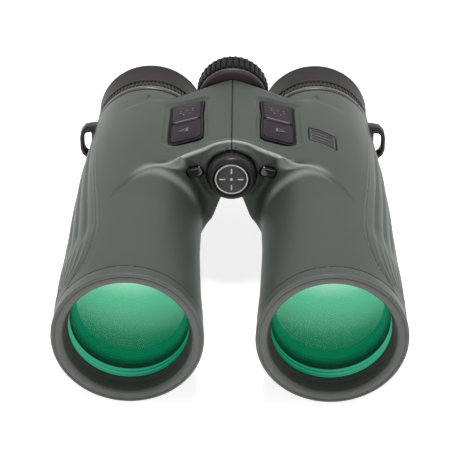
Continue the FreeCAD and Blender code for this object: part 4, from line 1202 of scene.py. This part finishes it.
# ---------------------------------------------------------------- centre
@dataclass
class Centre:
    """Hinge cap and focusing wheel."""

    finishes: Finishes
    ribs: RingOfRibs

    def build(self) -> None:
        """Make the cap and the wheel."""
        low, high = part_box("hinge_cap")
        axis = Vector(((low[0] + high[0]) / 2, 0.0, (low[2] + high[2]) / 2))
        y0 = DATUM

        def at(points: Sequence[tuple[float, float]]) -> list[tuple[float, float]]:
            return [(r * MM, y0 + d * MM) for r, d in points]

        self.cap(axis, at, y0)
        self.wheel(axis, at, y0)

    def cap(self, axis: Vector, at: Callable, y0: float) -> None:
        """A round cap with a dished face, a pale ring and four ticks."""
        finishes = self.finishes
        shell = new_piece("hinge_cap_shell", turned("hinge_cap_shell", at([
            (0.0, 81.85), (7.3, 81.85), (7.3, 81.2), (7.7, 81.0), (8.5, 81.0), (8.9, 81.35), (9.2, 82.0),
            (9.35, 83.2), (9.35, 86.5), (8.3, 86.5), (8.3, 83.1), (0.0, 83.1),
        ]), axis, bevel=0.0003, steps=160), "hinge_cap", "cap", finishes.cap)
        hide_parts("hinge_cap")
        self.ribs.make("hinge_cap_grip", "hinge_cap", "cap", finishes.cap, Count=60, Radius=0.00935,
                       Start=y0 + 0.0832, Length=0.003, Half_Width=0.00022, Height=0.0005,
                       Centre=(axis.x, 0.0, axis.z))
        disc = new_piece("cap_enamel_disc", turned("cap_enamel_disc", at([
            (0.0, 81.25), (6.9, 81.35), (7.2, 81.6), (7.2, 81.84), (0.0, 81.84),
        ]), axis, bevel=0.0001, steps=128), "hinge_cap", "medallion", finishes.enamel)
        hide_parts("cap_medallion")
        new_piece("cap_pale_ring", turned("cap_pale_ring", at([
            (6.0, 81.24), (6.5, 81.24), (6.5, 81.45), (6.0, 81.45),
        ]), axis, bevel=0.00005, steps=128), "hinge_cap", "medallion", finishes.white)
        ticks = []
        for k in range(4):
            turn = Matrix.Translation(axis + Vector((0, y0 + 0.08138, 0))) @ Matrix.Rotation(math.pi / 2 * k, 4, "Y")
            turn = turn @ Matrix.Translation((0.0036, 0, 0)) @ Matrix.Rotation(math.pi / 2, 4, "X")
            ticks.append(slab(f"tick{k}", rounded_rectangle(0.0024, 0.0006, 0.00028, 4), 0.0, 0.00016, turn, 0.00005))
        dot = turned("dot", at([(0.0, 81.18), (0.55, 81.2), (0.55, 81.4), (0.0, 81.4)]), axis, bevel=0.00005, steps=32)
        new_piece("cap_ticks", joined_mesh("cap_ticks", dot, *ticks), "hinge_cap", "medallion", finishes.white)
        ring = new_piece("cap_seal", turned("cap_seal", at([
            (6.95, 86.78), (9.6, 86.78), (9.75, 87.2), (9.6, 87.68), (6.95, 87.68),
        ]), axis, bevel=0.0002, steps=128), "cap_ring", "gasket", finishes.band)
        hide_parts("cap_gasket")

    def wheel(self, axis: Vector, at: Callable, y0: float) -> None:
        """A ribbed rubber grip on an anodised core with a flange in front."""
        finishes = self.finishes
        core = new_piece("wheel_core", turned("wheel_core", at([
            (2.5, 151.0), (13.9, 151.0), (14.6, 151.25), (15.0, 151.7), (15.0, 152.7), (14.7, 153.3), (12.6, 153.4),
            (12.6, 165.1), (12.1, 165.8), (11.2, 166.0), (0.0, 166.0), (0.0, 164.4), (2.5, 164.4),
        ]), axis, bevel=0.0003, steps=160), "focus_wheel", "wheel_metal", finishes.flange)
        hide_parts("focus_wheel_core")
        sleeve = new_piece("wheel_sleeve", turned("wheel_sleeve", at([
            (12.65, 153.45), (14.5, 153.45), (14.7, 153.8), (14.7, 163.6), (15.0, 164.0), (15.05, 164.6), (14.6, 165.2),
            (13.6, 165.35), (12.65, 165.35),
        ]), axis, bevel=0.0003, steps=160), "focus_wheel", "eyecup_rubber", finishes.wheel)
        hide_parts("focus_wheel_grip")
        self.ribs.make("wheel_ribs", "focus_wheel", "eyecup_rubber", finishes.wheel, Count=38, Radius=0.01445,
                       Start=y0 + 0.1535, Length=0.0113, Half_Width=0.00094, Height=0.0022,
                       Centre=(axis.x, 0.0, axis.z))
        new_piece("wheel_end_disc", turned("wheel_end_disc", at([
            (0.0, 165.6), (10.6, 165.6), (10.6, 166.05), (10.2, 166.2), (0.0, 166.2),
        ]), axis, bevel=0.0001, steps=96), "focus_wheel", "wheel_metal", finishes.cap)


# ---------------------------------------------------------------- keypads, windows, lugs
@dataclass
class Controls:
    """Keypad, sensor window and strap lug of one half."""

    side: Side
    finishes: Finishes

    def pad_place(self) -> Matrix:
        """The keypad's own frame: X across and outwards, Y along, Z off the surface."""
        low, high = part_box(f"{self.side.word}_key_frame")
        sign = self.side.value
        middle = Vector((PAD_ACROSS * MM * sign, (low[1] + high[1]) / 2, AXIS_RISE + PAD_RISE * MM))
        return Matrix.Translation(middle) @ Matrix.Rotation(PAD_SLOPE * sign, 4, "Y")

    def build(self) -> None:
        """Make the keypad, the window and the lug."""
        self.keypad()
        self.window()
        self.lug()

    def keypad(self) -> None:
        """A soft pad: a frame with a raised bar between two keys, each with its mark."""
        word, sign, place = self.side.word, self.side.value, self.pad_place()
        finishes = self.finishes
        frame_piece = new_piece(f"{word}_pad_frame", self.pad_rim(place), self.side.body, "key", finishes.key)
        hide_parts(f"{word}_key_frame")
        new_piece(f"{word}_pad_bar", slab("bar", rounded_rectangle(0.0098, 0.00074, 0.0003, 4), -0.0026, 0.00105,
                                          place, 0.00022), self.side.body, "key", finishes.mark)
        mark = Matrix.Translation((0, 0, 0.00045))
        for name, way in (("rear_key", 1), ("front_key", -1)):
            outline = self.key_outline(way)
            mesh = slab(f"{word}_{name}_cap", outline, -0.0022, 0.00045, place, 0.0004, 4, crown=0.0)
            key = new_piece(f"{word}_{name}_cap", mesh, f"{word}_{name}", "key", finishes.key)
            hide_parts(f"{word}_{name}")
        # front key: an outlined arrowhead that points outwards; rear key: a scatter of raised dots
        arrow = self.arrow(place @ mark @ Matrix.Translation((0.0006 * sign, -0.0082, 0)), sign)
        new_piece(f"{word}_front_mark", arrow, f"{word}_front_key", "key", finishes.mark)
        new_piece(f"{word}_rear_mark", self.dots(place @ mark @ Matrix.Translation((0, 0.0085, 0))),
                  f"{word}_rear_key", "key", finishes.mark)

    def key_outline(self, way: int) -> list[tuple[float, float]]:
        """The outline of one key: rounded at the pad's end, nearly square at the bar."""
        half_width, near, far = 0.0064, 0.00042, 0.0167
        outer, inner, steps = 0.0024, 0.0003, 8
        points = []
        for k, (sx, sy, radius) in enumerate(((1, 1, outer), (-1, 1, outer), (-1, -1, inner), (1, -1, inner))):
            cx = sx * (half_width - radius)
            cy = (far - radius) if sy > 0 else (near + radius)
            for i in range(steps + 1):
                angle = math.pi / 2 * (k + i / steps)
                points.append((cx + radius * math.cos(angle), cy + radius * math.sin(angle)))
        outline = []
        for (x0, y0), (x1, y1) in zip(points, points[1:] + points[:1]):
            cuts = max(1, int(math.hypot(x1 - x0, y1 - y0) / 0.0012))
            outline += [(x0 + (x1 - x0) * k / cuts, y0 + (y1 - y0) * k / cuts) for k in range(cuts)]
        outline = [(x, y * way) for x, y in (outline if way > 0 else outline[::-1])]
        return [self.waisted(x, y) for x, y in outline]

    def waisted(self, x: float, y: float) -> tuple[float, float]:
        """Draw in the pad's seam side a little behind its middle."""
        if x * self.side.value >= 0:
            return x, y
        return x + self.side.value * 0.00055 * math.exp(-(((y - 0.004) / 0.0065) ** 2)), y

    def pad_rim(self, place: Matrix) -> bpy.types.Mesh:
        """The pad's thin border, open over the keys."""
        outer = self.filled(rounded_rectangle(PAD_WIDTH, PAD_LENGTH, 0.0026, 8))
        inner = self.filled(rounded_rectangle(0.0131, 0.0338, 0.0025, 8))
        work = bmesh.new()
        rows = []
        for loop, level in ((outer, -0.0034), (outer, -0.0001), (inner, 0.0001), (inner, -0.0034)):
            rows.append([work.verts.new((*self.waisted(x, y), level)) for x, y in loop])
        count = len(outer)
        for here, there in zip(rows, rows[1:] + rows[:1]):
            for i in range(count):
                j = (i + 1) % count
                work.faces.new((here[i], here[j], there[j], there[i]))
        work.transform(place)
        return finished(work, "pad_rim")

    @staticmethod
    def filled(loop: list[tuple[float, float]], cuts: int = 12) -> list[tuple[float, float]]:
        """Add points along the long sides of a rounded rectangle's outline."""
        result = []
        for (x0, y0), (x1, y1) in zip(loop, loop[1:] + loop[:1]):
            parts = cuts if abs(y1 - y0) > 0.01 else 1
            result += [(x0 + (x1 - x0) * k / parts, y0 + (y1 - y0) * k / parts) for k in range(parts)]
        return result

    def arrow(self, place: Matrix, sign: int) -> bpy.types.Mesh:
        """An outlined arrowhead."""
        outer = [(0.0026 * sign, 0.0), (-0.0016 * sign, 0.0016), (-0.0016 * sign, -0.0016)]
        inner = [(x * 0.58 + 0.00004 * sign, y * 0.55) for x, y in outer]
        work = bmesh.new()
        rows = []
        for loop, level in ((outer, 0.0), (outer, 0.00022), (inner, 0.00022), (inner, 0.0)):
            rows.append([work.verts.new((x, y, level)) for x, y in loop])
        for here, there in zip(rows, rows[1:] + rows[:1]):
            for i in range(3):
                j = (i + 1) % 3
                work.faces.new((here[i], here[j], there[j], there[i]))
        work.transform(place)
        return finished(work, "arrow")

    def dots(self, place: Matrix) -> bpy.types.Mesh:
        """Small raised dots in two rows."""
        work = bmesh.new()
        for x, y in ((-2.6, 1.6), (-2.6, -0.2), (2.6, 1.6), (2.6, -0.2), (0.0, 1.0), (-1.3, -2.0), (1.3, -2.0)):
            spot = place @ Matrix.Translation((x * MM, y * MM, 0.0)) @ Matrix.Diagonal((1, 1, 0.5, 1))
            bmesh.ops.create_uvsphere(work, u_segments=12, v_segments=8, radius=0.0004, matrix=spot)
        return finished(work, "dots")

    def window(self) -> None:
        """A glossy pill-shaped window with a rounded face."""
        word = self.side.word
        low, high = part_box(f"{word}_front_window")
        middle = Vector(((low[0] + high[0]) / 2, low[1], (low[2] + high[2]) / 2))
        place = Matrix.Translation(middle) @ Matrix.Rotation(WINDOW_TILT * self.side.value, 4, "Y")
        place = place @ Matrix.Rotation(math.pi / 2, 4, "X")
        mesh = slab(f"{word}_pill_window", rounded_rectangle(high[0] - low[0], high[2] - low[2], 0.00195, 12),
                    -(high[1] - low[1]), 0.0, place, 0.0009, 5)
        piece = new_piece(f"{word}_pill_window", mesh, self.side.body, "window", self.finishes.window)
        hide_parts(f"{word}_front_window")

    def lug(self) -> None:
        """A slotted strap lug with rounded bars, its foot sunk in the armour."""
        word, sign = self.side.word, self.side.value
        low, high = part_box(f"{word}_strap_lug")
        centre_y, centre_z = (low[1] + high[1]) / 2, (low[2] + high[2]) / 2
        outer = [(56.6, -8.0), (60.2, -7.9), (63.4, -7.0), (65.4, -5.2), (66.2, -2.6), (66.2, 2.8), (65.6, 5.6),
                 (63.6, 7.9), (60.2, 8.6), (56.6, 8.8)]
        hole = [(61.1, -5.2), (61.6, -5.3), (62.8, -4.9), (63.8, -3.9), (64.5, -2.0), (64.5, 2.2), (64.1, 4.2),
                (63.2, 5.2), (61.6, 5.4), (61.1, 5.2)]
        work = bmesh.new()
        rows = []
        half = (high[1] - low[1]) / 2
        for loop, along in ((outer, -half), (outer, half), (hole, half), (hole, -half)):
            rows.append([work.verts.new((x * MM * sign, centre_y + along, centre_z + z * MM)) for x, z in loop])
        count = len(outer)
        for here, there in zip(rows, rows[1:] + rows[:1]):
            for i in range(count):
                j = (i + 1) % count
                work.faces.new((here[i], here[j], there[j], there[i]))
        bmesh.ops.recalc_face_normals(work, faces=work.faces)
        long_edges = [e for e in work.edges if abs(e.verts[0].co.y - e.verts[1].co.y) < 1e-6]
        bmesh.ops.bevel(work, geom=long_edges, offset=0.0007, segments=3, profile=0.5, affect="EDGES")
        piece = new_piece(f"{word}_lug", finished(work, f"{word}_lug", 50.0), self.side.body, "lug", self.finishes.lug)
        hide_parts(f"{word}_strap_lug")


class Badge:
    """A plain dark plate let into the right barrel, its ends skewed, with a fine border and three bars."""

    RADIUS = 26.75 * MM

    def __init__(self, finishes: Finishes) -> None:
        self.finishes = finishes
        low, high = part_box("badge_plate")
        self.centre = Vector(((low[0] + high[0]) / 2, (low[1] + high[1]) / 2, AXIS_RISE))
        self.width = high[0] - low[0] - 0.0003
        self.length = high[1] - low[1] - self.width * BADGE_SKEW - 0.0003

    def patch(
        self, across: float, along: float, width: float, length: float, lift: float, thick: float
    ) -> bpy.types.Mesh:
        """A thin patch bent round the barrel.

        Args:
            across: its middle across the plate.
            along: its middle along the plate.
            width: size across.
            length: size along.
            lift: its top above the plate's surface.
            thick: its thickness.

        Returns:
            The mesh.
        """
        work = bmesh.new()
        place = Matrix.Translation((across, along, 0)) @ Matrix.Diagonal((width, length, 1, 1))
        bmesh.ops.create_grid(work, x_segments=12, y_segments=4, size=0.5, matrix=place)
        made = bmesh.ops.extrude_face_region(work, geom=work.faces[:])
        for item in made["geom"]:
            if isinstance(item, bmesh.types.BMVert):
                item.co.z -= thick
        for vertex in work.verts:
            x, y, z = vertex.co
            bend = math.sqrt(self.RADIUS**2 - x * x)
            vertex.co = self.centre + Vector((x, y - x * BADGE_SKEW, bend + z + lift))
        return finished(work, "badge_patch")

    def build(self) -> None:
        """Make the plate and its raised lines."""
        plate = new_piece("badge_face", self.patch(0, 0, self.width, self.length, 0.0, 0.0013), "right_half",
                          "badge", self.finishes.badge)
        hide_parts("badge_plate")
        w, h, line, lift = self.width - 0.0014, self.length - 0.0014, 0.00028, 0.00014
        bars = [(0, h / 2, w + line, line), (0, -h / 2, w + line, line), (w / 2, 0, line, h), (-w / 2, 0, line, h)]
        bars += [(0, y * MM, 0.0056 - abs(y) * 0.0007, 0.0006) for y in (-2.4, 0.0, 2.4)]
        lines = [self.patch(*bar, lift, lift + 0.00005) for bar in bars]
        new_piece("badge_lines", joined_mesh("badge_lines", *lines), "right_half", "badge", self.finishes.badge_line)


def dress_frame(finishes: Finishes) -> None:
    """Give the CAD nodes that stay their materials."""
    plan = {
        "housing": finishes.chassis, "focus_cell": finishes.eyepiece, "prism_frame": finishes.chassis,
        "focus_lens": finishes.eye_glass, "penta_prism": finishes.eye_glass, "roof_prism": finishes.eye_glass,
        "field_lens": finishes.eye_glass, "hinge_shaft": finishes.steel, "focus_screw": finishes.steel,
        "focus_carriage": finishes.brass, "battery": finishes.steel, "circuit_board": finishes.board,
        "laser_emitter": finishes.dark_steel, "laser_receiver": finishes.dark_steel,
        "display_module": finishes.eyepiece,
    }
    for name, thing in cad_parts.items():
        for ending, material in plan.items():
            if name.endswith(ending):
                for slot_holder in thing.material_slots:
                    slot_holder.material = material


# ---------------------------------------------------------------- studio
class Studio:
    """Pale floor, soft lights and the camera."""

    def build(self) -> None:
        """Set the stage."""
        self.floor()
        self.lights()
        self.camera()

    def floor(self) -> None:
        """A pale floor just under the object, curving up far behind it."""
        work = bmesh.new()
        across, rows = 4.0, []
        for y, z in ((-4.0, 0.0), (1.0, 0.0), (1.6, 0.12), (2.1, 0.6), (2.3, 1.4), (2.3, 3.6)):
            rows.append([work.verts.new((x, y, z)) for x in (-across, across)])
        for here, there in zip(rows, rows[1:]):
            work.faces.new((here[0], here[1], there[1], there[0]))
        mesh = finished(work, "studio_floor", 80.0)
        floor = bpy.data.objects.new("studio_floor", mesh)
        bpy.context.scene.collection.objects.link(floor)
        tree = Shader("studio_paper")
        tree.set(Base_Color=(0.60, 0.60, 0.60), Roughness=1.0)
        tree.set(Emission_Color=(1.0, 1.0, 1.0), Emission_Strength=0.80)
        mesh.materials.append(tree.material)

    def lights(self) -> None:
        """A dim even sky and four soft lights: front, left, right and overhead."""
        bpy.context.scene.view_settings.view_transform = "Standard"
        world = bpy.data.worlds.new("studio_sky")
        bpy.context.scene.world = world
        world.use_nodes = True
        world.node_tree.nodes["Background"].inputs["Color"].default_value = (1, 1, 1, 1)
        world.node_tree.nodes["Background"].inputs["Strength"].default_value = 0.13
        for name, place, size, power in (
            ("front_light", (0.0, -1.3, 0.30), 1.0, 5.0),
            ("left_light", (-1.1, -0.20, 0.45), 0.8, 3.0),
            ("right_light", (1.1, -0.20, 0.45), 0.8, 3.0),
            ("top_light", (0.0, 0.10, 1.2), 0.30, 11.0),
        ):
            data = bpy.data.lights.new(name, "AREA")
            data.shape = "DISK"
            data.size = size
            data.energy = power
            light = bpy.data.objects.new(name, data)
            light.location = place
            aim = Vector((0, 0, 0.03)) - Vector(place)
            light.rotation_euler = aim.to_track_quat("-Z", "Y").to_euler()
            bpy.context.scene.collection.objects.link(light)

    def camera(self) -> None:
        """The camera, upright, above and in front of the objectives."""
        data = bpy.data.cameras.new("camera")
        data.lens = 126.4
        data.sensor_width = 36.0
        data.clip_start = 0.01
        camera = bpy.data.objects.new("camera", data)
        camera.location = (0.0039, -0.5663, 0.3525)
        camera.rotation_euler = (math.radians(90 - 30.5), 0.0, math.radians(0.46))
        bpy.context.scene.collection.objects.link(camera)
        bpy.context.scene.camera = camera


def main() -> None:
    """Build the object and its stage."""
    logging.basicConfig(level=logging.INFO, format="%(name)s %(message)s")
    finishes = Finishes()
    ribs = RingOfRibs()
    for side in Side:
        ArmourHalf(side, finishes).build()
        BarrelOptics(side, finishes).build()
        Eyepiece(side, finishes, ribs).build()
        Controls(side, finishes).build()
    Centre(finishes, ribs).build()
    Badge(finishes).build()
    dress_frame(finishes)
    Studio().build()


if __name__ == "__main__":
    main()
